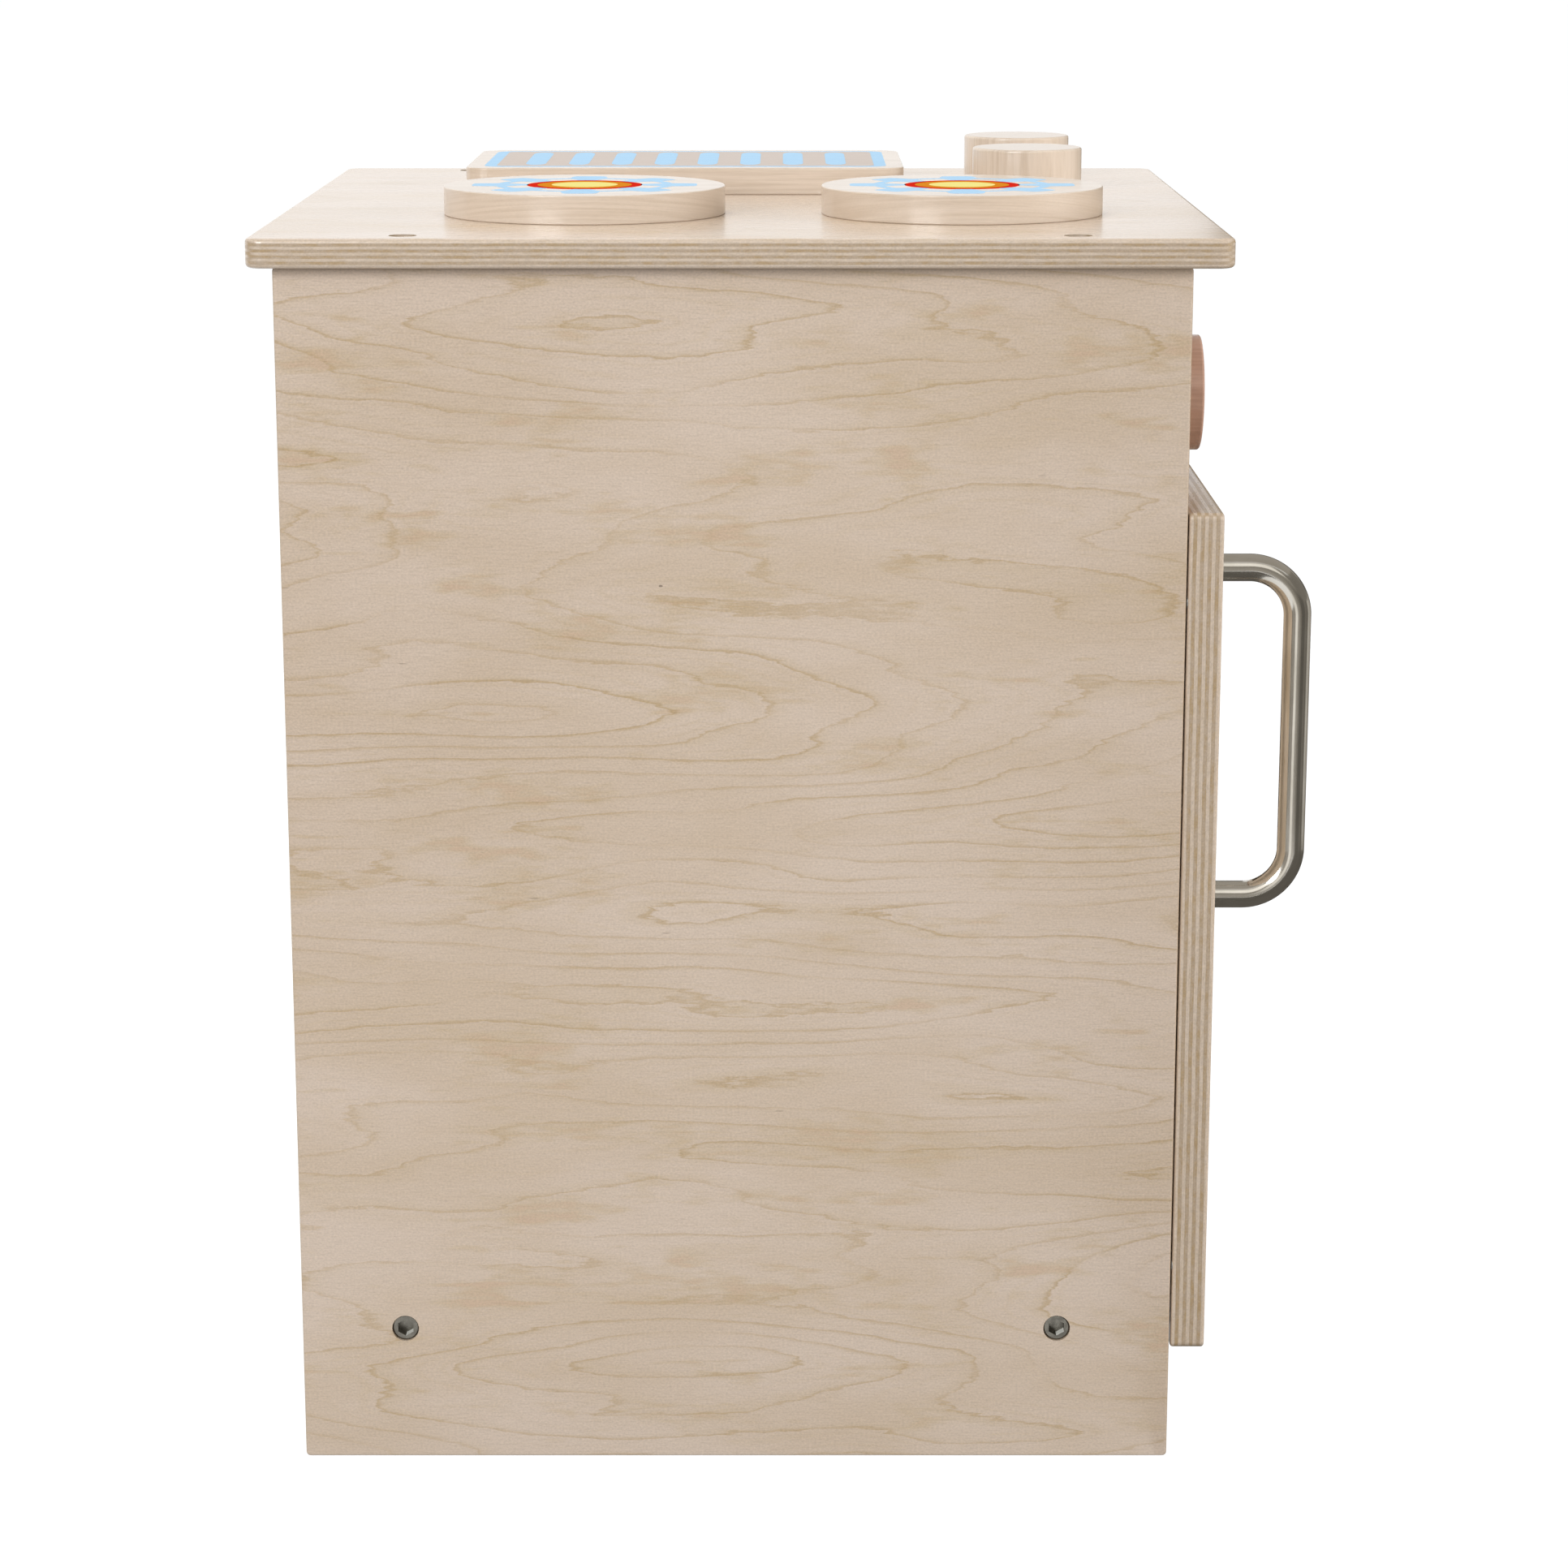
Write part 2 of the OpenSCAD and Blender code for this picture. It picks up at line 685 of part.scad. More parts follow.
module dowels() {
    color(pale_birch) both_sides() {
        for (y = ceiling_dowel_ys)
            translate([-inner_x - dowel_in_side, y, ceiling_z + board_t / 2])
                rotate([0, 90, 0]) dowel();
        for (z = control_dowel_zs)
            translate([-inner_x - dowel_in_side, control_y + board_t / 2, z])
                rotate([0, 90, 0]) dowel();
    }
}

// Turned knob over a board whose outer face is at z = 0, just clear of its washer
module knob() {
    difference() {
        translate([0, 0, knob_base]) disc(knob_d, knob_h, knob_arris_r);
        translate([0, 0, knob_base]) insert_hole();
    }
}

module insert_hole() {
    translate([0, 0, -over]) cylinder(r = insert_d / 2 + seat_fit, h = insert_len + over);
}

// Threaded insert with a shallow flange ring, flush with the knob's underside
module knob_insert() {
    translate([0, 0, knob_base]) difference() {
        disc(insert_d, insert_len, rim_r);
        translate([0, 0, -over])
            cylinder(r = knob_bolt_d / 2 + seat_fit, h = insert_len + 2 * over);
    }
}

// Bolt from behind a board of thickness t: its head, then its shank up into the insert
module knob_bolt(t) {
    head_h = knob_bolt_d * 0.6;
    under_head = -t - washer_t - turn_gap;
    socket = knob_bolt_d * 0.6;
    difference() {
        union() {
            translate([0, 0, under_head - head_h]) disc(knob_bolt_d * 1.8, head_h, rim_r);
            translate([0, 0, under_head - eps])
                cylinder(d = knob_bolt_d, h = knob_base + knob_bolt_grip - under_head);
        }
        translate([0, 0, under_head - head_h - over])
            cylinder(d = socket / cos(30), h = head_h * 0.7 + over, $fn = 6);
    }
}

// The washer under a knob and the one behind its board
module knob_washer_pair(t) {
    for (w = [[0, spacer_t], [-t - washer_t, washer_t]])
        translate([0, 0, w[0]]) difference() {
            cylinder(d = washer_d, h = w[1]);
            translate([0, 0, -over])
                cylinder(r = knob_bolt_d / 2 + pass_fit, h = w[1] + 2 * over);
        }
}

module at_front_knob(i) {
    translate([front_knob_xs[i], control_y, front_knob_z]) facing_front() children();
}

module at_top_knob(i) {
    translate([top_knob_xs[i], top_knob_y, top_z]) children();
}

module knob_washers() {
    color(nylon) {
        for (i = [0:2]) at_front_knob(i) knob_washer_pair(board_t);
        for (i = [0, 1]) at_top_knob(i) knob_washer_pair(top_t);
    }
}

// Slotted rack that rests, by half-round notches, on its four pins
module oven_rack() {
    slot_len = rack_d - 2 * rack_rim;
    slots = floor((rack_w - 2 * rack_rim - rack_slot_w) / rack_slot_pitch);
    color(pale_birch) difference() {
        translate([-rack_w / 2, rack_y, rack_z])
            rounded_board([rack_w, rack_d, rack_t], rack_corner_r, rack_arris_r);
        for (i = [0:slots])
            translate([(i - slots / 2) * rack_slot_pitch, rack_y + rack_d / 2, rack_z - over])
                slot(slot_len, rack_slot_w, rack_t + 2 * over);
        both_sides() for (y = rack_pin_ys)
            translate([-inner_x - over, y, rack_z]) rotate([0, 90, 0])
                cylinder(r = rack_pin_d / 2 + board_fit, h = rack_pin_out + 2 * over);
    }
}

module rack_pins() {
    color(steel) both_sides() for (y = rack_pin_ys)
        translate([rack_pin_out - inner_x, y, rack_z]) facing_left()
            disc(rack_pin_d, rack_pin_out + rack_pin_in, rim_r);
}

module door_magnets() {
    color(steel) for (z = magnet_zs) translate([-side_mid_x, front_y, z]) facing_front()
        translate([0, 0, magnet_proud - magnet_len]) disc(magnet_d, magnet_len, rim_r);
}

// Hinge leaf with the knuckles of the given parity, seen from the pin's foot: the leaf lies
// towards -x, on the +y side of the pin, and its outer face meets the bottom of its seat
module hinge_leaf(parity) {
    knuckle_r = knuckle_d / 2;
    leaf_in = knuckle_r + knuckle_gap;
    difference() {
        union() {
            translate([-leaf_reach, leaf_gap / 2, 0])
                cube([leaf_reach - leaf_in, leaf_t, hinge_len]);
            for (i = [parity:2:knuckle_n - 1]) {
                length = knuckle_step - (i == 0 || i == knuckle_n - 1 ? 0.5 : 1) * knuckle_gap;
                base = i * knuckle_step + (i == 0 ? 0 : knuckle_gap / 2);
                translate([0, 0, base]) cylinder(r = knuckle_r, h = length);
                translate([-leaf_in - eps, leaf_gap / 2, base])
                    cube([leaf_in + eps, leaf_t, length]);
            }
        }
        translate([0, 0, -over])
            cylinder(r = hinge_pin_d / 2 + run_fit, h = hinge_len + 2 * over);
    }
}

// Shallow seat for a hinge leaf, from y back, open at the boards' outer side
module leaf_seat(y) {
    w = leaf_reach + board_fit;
    translate([hinge_x - w, y, door_z + hinge_end - board_fit])
        cube([w, leaf_sink + over, hinge_len + 2 * board_fit]);
}

module at_frame_screws() {
    for (z = hinge_screw_zs)
        translate([side_mid_x, front_y + leaf_sink - leaf_t, z]) facing_front() children();
}

module at_door_screws() {
    for (z = hinge_screw_zs)
        translate([side_mid_x, door_back_y - leaf_sink + leaf_t, z]) rotate([-90, 0, 0])
            children();
}

module hinge_fixed_leaf() {
    color(steel) difference() {
        translate([hinge_x, hinge_y, door_z + hinge_end]) hinge_leaf(0);
        at_frame_screws() countersunk_screw(small_screw_d, small_screw_len, seat_fit);
    }
}

module hinge_door_leaf() {
    color(steel) difference() {
        translate([hinge_x, hinge_y, door_z + hinge_end]) mirror([0, 1, 0]) hinge_leaf(1);
        at_door_screws() countersunk_screw(small_screw_d, small_screw_len, seat_fit);
    }
}

module hinge_pin() {
    color(steel) translate([hinge_x, hinge_y, door_z + hinge_end])
        cylinder(d = hinge_pin_d, h = hinge_len);
}

module hinge_frame_screws() {
    color(steel) at_frame_screws() countersunk_screw(small_screw_d, small_screw_len);
}

module hinge_door_screws() {
    color(steel) at_door_screws() countersunk_screw(small_screw_d, small_screw_len);
}

// Rounded window shape, grown by lap on every side, from z = 0 up, facing the front
module window_shape(lap, t) {
    w = window_w + 2 * lap;
    h = window_h + 2 * lap;
    translate([door_mid.x - w / 2, 0, door_mid.y - h / 2]) rotate([90, 0, 0])
        rounded_board([w, h, t], window_r + lap);
}

module at_pane_screws() {
    for (p = pane_screws)
        translate([door_mid.x + p.x, door_back_y, door_mid.y + p.y]) rotate([-90, 0, 0]) children();
}

module at_handle_screws() {
    for (s = [-1, 1])
        translate([handle_x, door_back_y, door_top - handle_drop + s * handle_pitch / 2])
            rotate([-90, 0, 0]) children();
}

module door_panel() {
    color(birch) difference() {
        translate([door_left_x, door_back_y, door_z]) rotate([90, 0, 0])
            rounded_board([door_w, door_h, door_t], door_corner_r, door_arris_r);
        translate([0, door_back_y + over, 0]) window_shape(0, door_t + 2 * over);
        translate([0, door_back_y + over, 0]) window_shape(window_lap, pane_t + over);
        at_pane_screws() translate([0, 0, -small_screw_len])
            cylinder(r = small_screw_d / 2 + seat_fit, h = small_screw_len);
        at_handle_screws() translate([0, 0, -door_t - over])
            cylinder(r = handle_screw_d / 2 + pass_fit, h = door_t + 2 * over);
        leaf_seat(door_back_y - leaf_sink);
        at_door_screws() countersunk_screw(small_screw_d, small_screw_len, seat_fit);
        for (z = magnet_zs) translate([-side_mid_x, door_back_y, z]) rotate([-90, 0, 0])
            translate([0, 0, strike_proud - strike_t])
                cylinder(r = magnet_d / 2 + seat_fit, h = strike_t);
    }
}

module window_pane() {
    color(acrylic) difference() {
        translate([0, door_back_y, 0]) window_shape(window_lap - board_fit, pane_t);
        at_pane_screws() translate([0, 0, -pane_t - over])
            cylinder(r = small_screw_d / 2 + seat_fit, h = pane_t + 2 * over);
    }
}

module window_screws() {
    color(steel) at_pane_screws() pan_screw(small_screw_d, small_screw_len);
}

module strike_discs() {
    color(steel) for (z = magnet_zs)
        translate([-side_mid_x, door_back_y, z]) rotate([-90, 0, 0])
            translate([0, 0, strike_proud - strike_t]) disc(magnet_d, strike_t, strike_t / 8);
}

// Bent rod with two legs: local x leads away from the door, local y runs up the grip
module handle_rod() {
    leg = handle_reach - handle_bend_r;
    straight = handle_pitch / 2 - handle_bend_r;
    translate([handle_reach, 0, 0]) rotate([90, 0, 0])
        cylinder(d = handle_d, h = 2 * straight, center = true);
    for (side = [0, 1]) mirror([0, side, 0]) {
        translate([0, handle_pitch / 2, 0]) rotate([0, 90, 0]) cylinder(d = handle_d, h = leg);
        translate([leg, straight, 0]) rotate_extrude(angle = 90)
            translate([handle_bend_r, 0]) circle(d = handle_d);
    }
}

module door_handle() {
    tapped = handle_screw_bite + tip_room;
    color(steel) difference() {
        translate([handle_x, door_front_y, door_top - handle_drop]) rotate([90, 0, -90])
            handle_rod();
        at_handle_screws() translate([0, 0, -door_t - tapped])
            cylinder(r = handle_screw_d / 2 + seat_fit, h = tapped + over);
    }
}

module handle_screws() {
    color(steel) at_handle_screws() pan_screw(handle_screw_d, door_t + handle_screw_bite);
}

module front_knob(i) { color(terracotta) at_front_knob(i) knob(); }
module front_knob_insert(i) { color(brass) at_front_knob(i) knob_insert(); }
module front_knob_bolt(i) { color(steel) at_front_knob(i) knob_bolt(board_t); }
module top_knob(i) { color(pale_birch) at_top_knob(i) knob(); }
module top_knob_insert(i) { color(brass) at_top_knob(i) knob_insert(); }
module top_knob_bolt(i) { color(steel) at_top_knob(i) knob_bolt(top_t); }

left_side_panel();
right_side_panel();
bottom_board();
ceiling_board();
back_board();
control_board();
countertop();
burner_plate(back_burner);  // back_burner_plate
burner_plate(front_burner);  // front_burner_plate
griddle_plate();
plate_screws();
back_screws();
connector_bolts();
barrel_nuts();
dowels();
knob_washers();
oven_rack();
rack_pins();
door_magnets();
hinge_fixed_leaf();
hinge_pin();
hinge_frame_screws();
door_panel();
window_pane();
window_screws();
door_handle();
handle_screws();
hinge_door_leaf();
hinge_door_screws();
strike_discs();
front_knob(0);  // left_front_knob
front_knob_insert(0);  // left_front_knob_insert
front_knob_bolt(0);  // left_front_knob_bolt
front_knob(1);  // middle_front_knob
front_knob_insert(1);  // middle_front_knob_insert
front_knob_bolt(1);  // middle_front_knob_bolt
front_knob(2);  // right_front_knob
front_knob_insert(2);  // right_front_knob_insert
front_knob_bolt(2);  // right_front_knob_bolt
top_knob(0);  // left_top_knob
top_knob_insert(0);  // left_top_knob_insert
top_knob_bolt(0);  // left_top_knob_bolt
top_knob(1);  // right_top_knob
top_knob_insert(1);  // right_top_knob_insert
top_knob_bolt(1);  // right_top_knob_bolt
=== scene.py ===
# %% [markdown]
# # A toy oven in birch plywood
#
# The construction comes ready made, as a frame of named pieces that already sit in their places.
# This lesson gives each piece its finish: rotary-cut birch veneer on the boards, layered edges
# where the plywood is cut, turned and stained knobs, printed hob plates and a polished steel grip.

# %% The frame
import json
import math

import bpy
import numpy as np
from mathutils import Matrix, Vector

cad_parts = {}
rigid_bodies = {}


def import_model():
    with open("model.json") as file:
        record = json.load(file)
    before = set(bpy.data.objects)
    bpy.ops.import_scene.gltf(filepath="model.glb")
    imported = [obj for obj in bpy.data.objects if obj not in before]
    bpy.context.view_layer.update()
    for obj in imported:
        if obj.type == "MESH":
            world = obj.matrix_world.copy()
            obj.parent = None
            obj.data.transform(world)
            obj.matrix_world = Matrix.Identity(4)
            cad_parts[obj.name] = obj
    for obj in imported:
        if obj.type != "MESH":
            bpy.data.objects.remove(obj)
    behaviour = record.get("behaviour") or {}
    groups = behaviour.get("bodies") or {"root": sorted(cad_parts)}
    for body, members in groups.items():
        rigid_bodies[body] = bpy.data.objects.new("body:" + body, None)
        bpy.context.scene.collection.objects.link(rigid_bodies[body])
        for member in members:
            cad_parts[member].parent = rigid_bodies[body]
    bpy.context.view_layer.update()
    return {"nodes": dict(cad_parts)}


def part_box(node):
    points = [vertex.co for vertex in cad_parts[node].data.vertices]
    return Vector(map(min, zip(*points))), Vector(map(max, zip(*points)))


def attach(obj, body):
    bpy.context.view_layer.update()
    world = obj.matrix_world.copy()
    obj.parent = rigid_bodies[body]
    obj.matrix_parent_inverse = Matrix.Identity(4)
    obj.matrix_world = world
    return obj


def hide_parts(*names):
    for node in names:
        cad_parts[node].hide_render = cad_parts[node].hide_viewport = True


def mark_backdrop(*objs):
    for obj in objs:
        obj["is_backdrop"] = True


for leftover in list(bpy.data.objects):
    bpy.data.objects.remove(leftover)

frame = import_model()

# %% [markdown]
# ## Where we stand
#
# The oven is seen square on its left side, from a little above the countertop. A long lens keeps
# the panel's edges almost parallel. The camera's place was worked out from the corners of the
# panel and the countertop, so the numbers here are real distances from the oven, in metres.

# %% Camera
PHOTO_SIZE = 1932
FOCAL_PIXELS = 4840.4
SENSOR_WIDTH = 36
CAMERA_PLACE = (-1.9101, 0.0025, 0.7165)
CAMERA_DROP = math.radians(13.026)

camera = bpy.data.objects.new("camera", bpy.data.cameras.new("camera"))
camera.data.sensor_fit = "HORIZONTAL"
camera.data.sensor_width = SENSOR_WIDTH
camera.data.lens = SENSOR_WIDTH * FOCAL_PIXELS / PHOTO_SIZE
camera.data.clip_end = 200
camera.location = CAMERA_PLACE
camera.rotation_euler = (math.pi / 2 - CAMERA_DROP, 0, -math.pi / 2)
bpy.context.scene.collection.objects.link(camera)
bpy.context.scene.camera = camera
print("lens:", round(camera.data.lens, 2), "mm")

# %% [markdown]
# ## A short way to write finishes
#
# Every finish, lamp card and background below is a small network of shader nodes. Wiring them by
# hand hides the idea, so one class gives each node a short call that takes numbers or other nodes'
# outputs. Colours are written as they look on a screen, from 0 to 255, and turned into the light
# values that shaders use.

# %% Colours
def srgb(r, g, b):
    """A screen colour as a linear colour with full opacity."""
    c = np.array([r, g, b]) / 255
    linear = np.where(c <= 0.04045, c / 12.92, ((c + 0.055) / 1.055) ** 2.4)
    return (*linear, 1.0)


print("a screen grey of 128 is a light value of", round(srgb(128, 128, 128)[0], 3))


# %% Networks of nodes
class Network:
    """The shader nodes of one material or world, with a short call for each kind that is used."""

    def __init__(self, owner):
        self.owner = owner
        owner.use_nodes = True
        self.tree = owner.node_tree
        self.tree.nodes.clear()

    def node(self, kind, inputs=None, **settings):
        """A new node. Each input is a number, a colour or another node's output."""
        made = self.tree.nodes.new("ShaderNode" + kind)
        for key, value in settings.items():
            setattr(made, key, value)
        for key, value in (inputs or {}).items():
            if isinstance(value, bpy.types.NodeSocket):
                self.tree.links.new(value, made.inputs[key])
            else:
                made.inputs[key].default_value = value
        return made

    def math(self, operation, a, b=0.0, c=0.0, **settings):
        """One sum, product or other operation on up to three numbers."""
        return self.node("Math", {0: a, 1: b, 2: c}, operation=operation, **settings).outputs[0]

    def times(self, product, *factors):
        """The product of two or more numbers."""
        for factor in factors:
            product = self.math("MULTIPLY", product, factor)
        return product

    def squared(self, value):
        """A number times itself."""
        return self.math("MULTIPLY", value, value)

    def end(self, shader):
        """Ends the network in a shader node, and returns the material or world it belongs to."""
        kind = "OutputWorld" if isinstance(self.owner, bpy.types.World) else "OutputMaterial"
        self.node(kind, {"Surface": shader.outputs[0]})
        return self.owner


print("a network's calls:", [name for name in vars(Network) if not name.startswith("_")])


# %% Finishes
class Finish(Network):
    """One material, with the patterns and blends that the finishes share."""

    def __init__(self, name):
        super().__init__(bpy.data.materials.new(name))

    def vector(self, x, y, z):
        """Three numbers joined into one vector."""
        return self.node("CombineXYZ", {0: x, 1: y, 2: z}).outputs[0]

    def split(self, vector):
        """A vector's, point's or colour's three numbers."""
        return list(self.node("SeparateXYZ", {0: vector}).outputs)

    def place(self):
        """The point's x, y and z on the piece, in metres."""
        return self.split(self.node("TexCoord").outputs["Object"])

    def facing(self):
        """The surface's direction on the piece, as x, y and z."""
        return self.split(self.node("TexCoord").outputs["Normal"])

    def blend(self, share, a, b):
        """Number a where share is 0, and b where it is 1."""
        return self.node("Mix", {0: share, 2: a, 3: b}, data_type="FLOAT").outputs[0]

    def tint(self, share, a, b, mode="MIX"):
        """Colour a where share is 0, and b where it is 1, or b laid on a in another mode."""
        return self.node("Mix", {0: share, 6: a, 7: b}, data_type="RGBA", blend_type=mode).outputs[2]

    def shaded(self, colour, shade):
        """A colour multiplied by one number."""
        return self.tint(1.0, colour, self.vector(shade, shade, shade), mode="MULTIPLY")

    def step(self, value, low, high, to_low=0.0, to_high=1.0):
        """A smooth rise from to_low at low to to_high at high."""
        made = self.node("MapRange", {0: value, 1: low, 2: high, 3: to_low, 4: to_high},
                         interpolation_type="SMOOTHSTEP")
        return made.outputs[0]

    def curve(self, value, stops):
        """A number that runs through (position, height) stops."""
        made = self.node("ValToRGB", {0: value})
        ramp = made.color_ramp
        while len(ramp.elements) < len(stops):
            ramp.elements.new(0.5)
        for element, (place, height) in zip(ramp.elements, stops):
            element.position = place
            element.color = (height, height, height, 1)
        return made.outputs[0]

    def noise(self, vector, detail=2.0, roughness=0.5):
        """Cloudy numbers round 0.5, one cloud for each unit of the vector."""
        made = self.node("TexNoise", {"Vector": vector, "Scale": 1.0, "Detail": detail,
                                      "Roughness": roughness})
        return made.outputs[0]

    def cloud(self, point, counts, detail=2.0, roughness=0.5):
        """Noise with its own count of clouds, per metre or other unit, for each of three numbers."""
        stretched = [p if count == 1 else self.times(p, count) for p, count in zip(point, counts)]
        return self.noise(self.vector(*stretched), detail, roughness)

    def disturb(self, value, cloud, amount):
        """A number raised where the cloud is thick and lowered where it is thin: value plus amount
        times (cloud minus a half)."""
        return self.math("MULTIPLY_ADD", self.math("SUBTRACT", cloud, 0.5), amount, value)

    def close(self, colour, roughness, relief=None, depth=0.0, **others):
        """Ends the finish in one surface shader. relief is a height from 0 to 1 that stands depth
        metres out. others are more of the shader's inputs, each a number or a node's output."""
        inputs = {"Base Color": colour, "Roughness": roughness}
        for name, value in others.items():
            inputs[name.replace("_", " ").title().replace("Ior", "IOR")] = value
        if relief is not None:
            bump = self.node("Bump", {"Height": relief, "Distance": depth, "Strength": 1.0})
            inputs["Normal"] = bump.outputs[0]
        return self.end(self.node("BsdfPrincipled", inputs))


print("a finish's own calls:", [name for name in vars(Finish) if not name.startswith("_")])

# %% [markdown]
# ## Light
#
# The real oven was shot in a bright tent: light comes from everywhere, a little more of it from
# the upper left and from above. A pale world gives the even part. Four large area lamps add the
# rest, soft enough that shadows stay close to what casts them. Lacquer and metal would show each
# lamp as a white patch, so all but the key lamp are left out of reflections.

# %% World
SKY_TINT = (0.96, 0.98, 1.0, 1)
WHITE = (1, 1, 1, 1)


def white_background(world, ambient):
    """The world lights the oven at a low, even level, while the camera, metal and glass see white."""
    w = Network(world)
    rays = w.node("LightPath").outputs
    mirrored = w.math("ADD", rays["Is Glossy Ray"], rays["Is Transmission Ray"])
    seen = w.math("ADD", rays["Is Camera Ray"], mirrored, use_clamp=True)
    soft = w.node("Background", {"Color": SKY_TINT, "Strength": ambient})
    white = w.node("Background", {"Color": WHITE, "Strength": 1.0})
    return w.end(w.node("MixShader", {0: seen, 1: soft.outputs[0], 2: white.outputs[0]}))


bpy.context.scene.world = white_background(bpy.data.worlds.new("studio"), ambient=0.40)
bpy.context.scene.view_settings.view_transform = "Standard"
print("world:", bpy.context.scene.world.name)

# %% Lamps
OVEN_MIDDLE = (0, 0, 0.3)
HOB = (0.1, 0, 0.5)


def softbox(name, place, aim, width, height, power, mirrored=True):
    """A rectangular lamp at place whose face looks at the point aim. Unturned it looks straight
    down, so it is tilted up by the angle between down and the way to aim, then turned round Z to
    that way. Reflections show it only if it is mirrored."""
    lamp = bpy.data.lights.new(name, "AREA")
    lamp.shape = "RECTANGLE"
    lamp.size, lamp.size_y = width, height
    lamp.energy = power
    made = bpy.data.objects.new(name, lamp)
    made.location = place
    made.visible_glossy = mirrored
    way = np.array(aim, float) - np.array(place, float)
    flat = math.hypot(way[0], way[1])
    made.rotation_euler = (math.atan2(flat, -way[2]), 0, math.atan2(way[1], way[0]) - math.pi / 2)
    bpy.context.scene.collection.objects.link(made)
    print(name, "at", place, power, "W")
    return made


softbox("key", (-2.5, 1.4, 1.40), OVEN_MIDDLE, 1.4, 1.2, 56)
softbox("top", (0.5, 0.1, 2.3), HOB, 1.6, 1.8, 24, mirrored=False)
softbox("front_fill", (-0.5, -2.5, 0.8), OVEN_MIDDLE, 1.4, 1.2, 54, mirrored=False)
softbox("back_fill", (1.6, 2.4, 1.2), OVEN_MIDDLE, 1.4, 1.2, 24, mirrored=False)

# %% [markdown]
# ## What the metal sees
#
# A polished rod shows its surroundings more than its own colour. In a real studio much of that is
# dim: the room behind the camera, the table in front of the oven, the wall beside it. These cards
# stand in for them. Only mirror-like rays see them, so they change no other light.

# %% Cards for the metal
BRIGHT_TINT = (1.0, 0.97, 0.92, 1)
DIM_TINT = (1.0, 0.93, 0.83, 1)


def rectangle(name, corner, across, up, material):
    """A flat face from a corner along two edges."""
    a, b, c = (np.array(v, float) for v in (corner, across, up))
    mesh = bpy.data.meshes.new(name)
    mesh.from_pydata([a, a + b, a + b + c, a + c], [], [(0, 1, 2, 3)])
    mesh.materials.append(material)
    made = bpy.data.objects.new(name, mesh)
    bpy.context.scene.collection.objects.link(made)
    return made


def card(name, corner, across, up, brightness):
    """A rectangle that glows evenly and that only reflections show. A dim one is a little warmer."""
    f = Finish(name)
    tint = BRIGHT_TINT if brightness > 0.5 else DIM_TINT
    glow = f.node("Emission", {"Color": tint, "Strength": brightness})
    made = rectangle(name, corner, across, up, f.end(glow))
    made.visible_camera = made.visible_diffuse = made.visible_shadow = made.visible_transmission = False
    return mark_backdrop(made)


card("room", (-3.4, -4.0, 0), (0, 8.0, 0), (0, 0, 4.0), 0.36)
card("table", (-1.1, -1.6, 0.001), (2.6, 0, 0), (0, 1.43, 0), 0.15)
card("bright_high", (-2.36, -1.6, 1.16), (0, 2.6, 0), (0, 0, 1.24), 1.35)
card("bright_over", (-2.36, -1.6, 2.4), (0, 2.6, 0), (0.86, 0, 0), 0.75)
card("ceiling", (-1.5, -3.0, 2.4), (0, 4.5, 0), (3.5, 0, 0), 0.45)
card("beyond", (1.6, -2.6, 0), (0, 2.22, 0), (0, 0, 1.15), 0.16)
card("beyond_high", (1.6, -2.6, 1.15), (0, 2.22, 0), (0, 0, 1.25), 0.44)
card("front_wall", (-3.4, -2.9, 0), (5.4, 0, 0), (0, 0, 2.4), 0.26)
card("left_wall", (-3.3, 2.8, 0), (4.2, 0, 0), (0, 0, 2.4), 0.45)

# %% A ring of low cards round the grip
GRIP_SPOT = np.array([-0.164, -0.229])
RING_REACH = 1.1
RING_HEIGHT = 0.48
# Each card runs from one direction to the next, in degrees from straight left towards the front,
# and has its own brightness.
LOW_RING = [(-64, -44, 0.27), (-44, -20, 0.38), (-19, -2, 1.10), (-2, 4, 0.55), (4, 17, 0.42),
            (17, 30, 0.28), (30, 60, 0.16), (60, 78, 0.24), (78, 88, 0.17), (88, 96, 0.40),
            (96, 112, 0.68), (112, 140, 0.45)]


def on_ring(degrees):
    """The point on the ring in a direction: the grip's spot plus the ring's reach that way."""
    turn = math.radians(degrees)
    return GRIP_SPOT + RING_REACH * np.array([-math.cos(turn), -math.sin(turn)])


for k, (first, last, brightness) in enumerate(LOW_RING):
    start, way = on_ring(first), on_ring(last) - on_ring(first)
    card(f"low_{k + 1}", (*start, 0), (*way, 0), (0, 0, RING_HEIGHT), brightness)
print("cards round the grip:", len(LOW_RING))

# %% [markdown]
# ## Floor
#
# The oven stands on plain white. A floor of white paper would throw far too much light up under
# the door and the countertop, so this one is grey, and glows white only where the camera or a
# reflection looks at it. The oven's shadow still falls on its own grey colour.

# %% Floor
FLOOR_REACH = 60.0
FLOOR_GREY = (0.20, 0.20, 0.20, 1)
FLOOR_GLOW = 0.93


def pale_floor(reach):
    """A flat square floor: a dull grey plus a glow that only the camera and reflections see."""
    f = Finish("studio_floor")
    rays = f.node("LightPath").outputs
    seen = f.math("MAXIMUM", rays["Is Camera Ray"], rays["Is Glossy Ray"])
    chalk = f.node("BsdfDiffuse", {"Color": FLOOR_GREY})
    glow = f.node("Emission", {"Strength": f.times(seen, FLOOR_GLOW)})
    both = f.node("AddShader", {0: chalk.outputs[0], 1: glow.outputs[0]})
    corner, side = (-reach, -reach, 0), 2 * reach
    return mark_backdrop(rectangle("studio_floor", corner, (side, 0, 0), (0, side, 0), f.end(both)))


pale_floor(FLOOR_REACH)
print("floor reaches", FLOOR_REACH, "m each way")

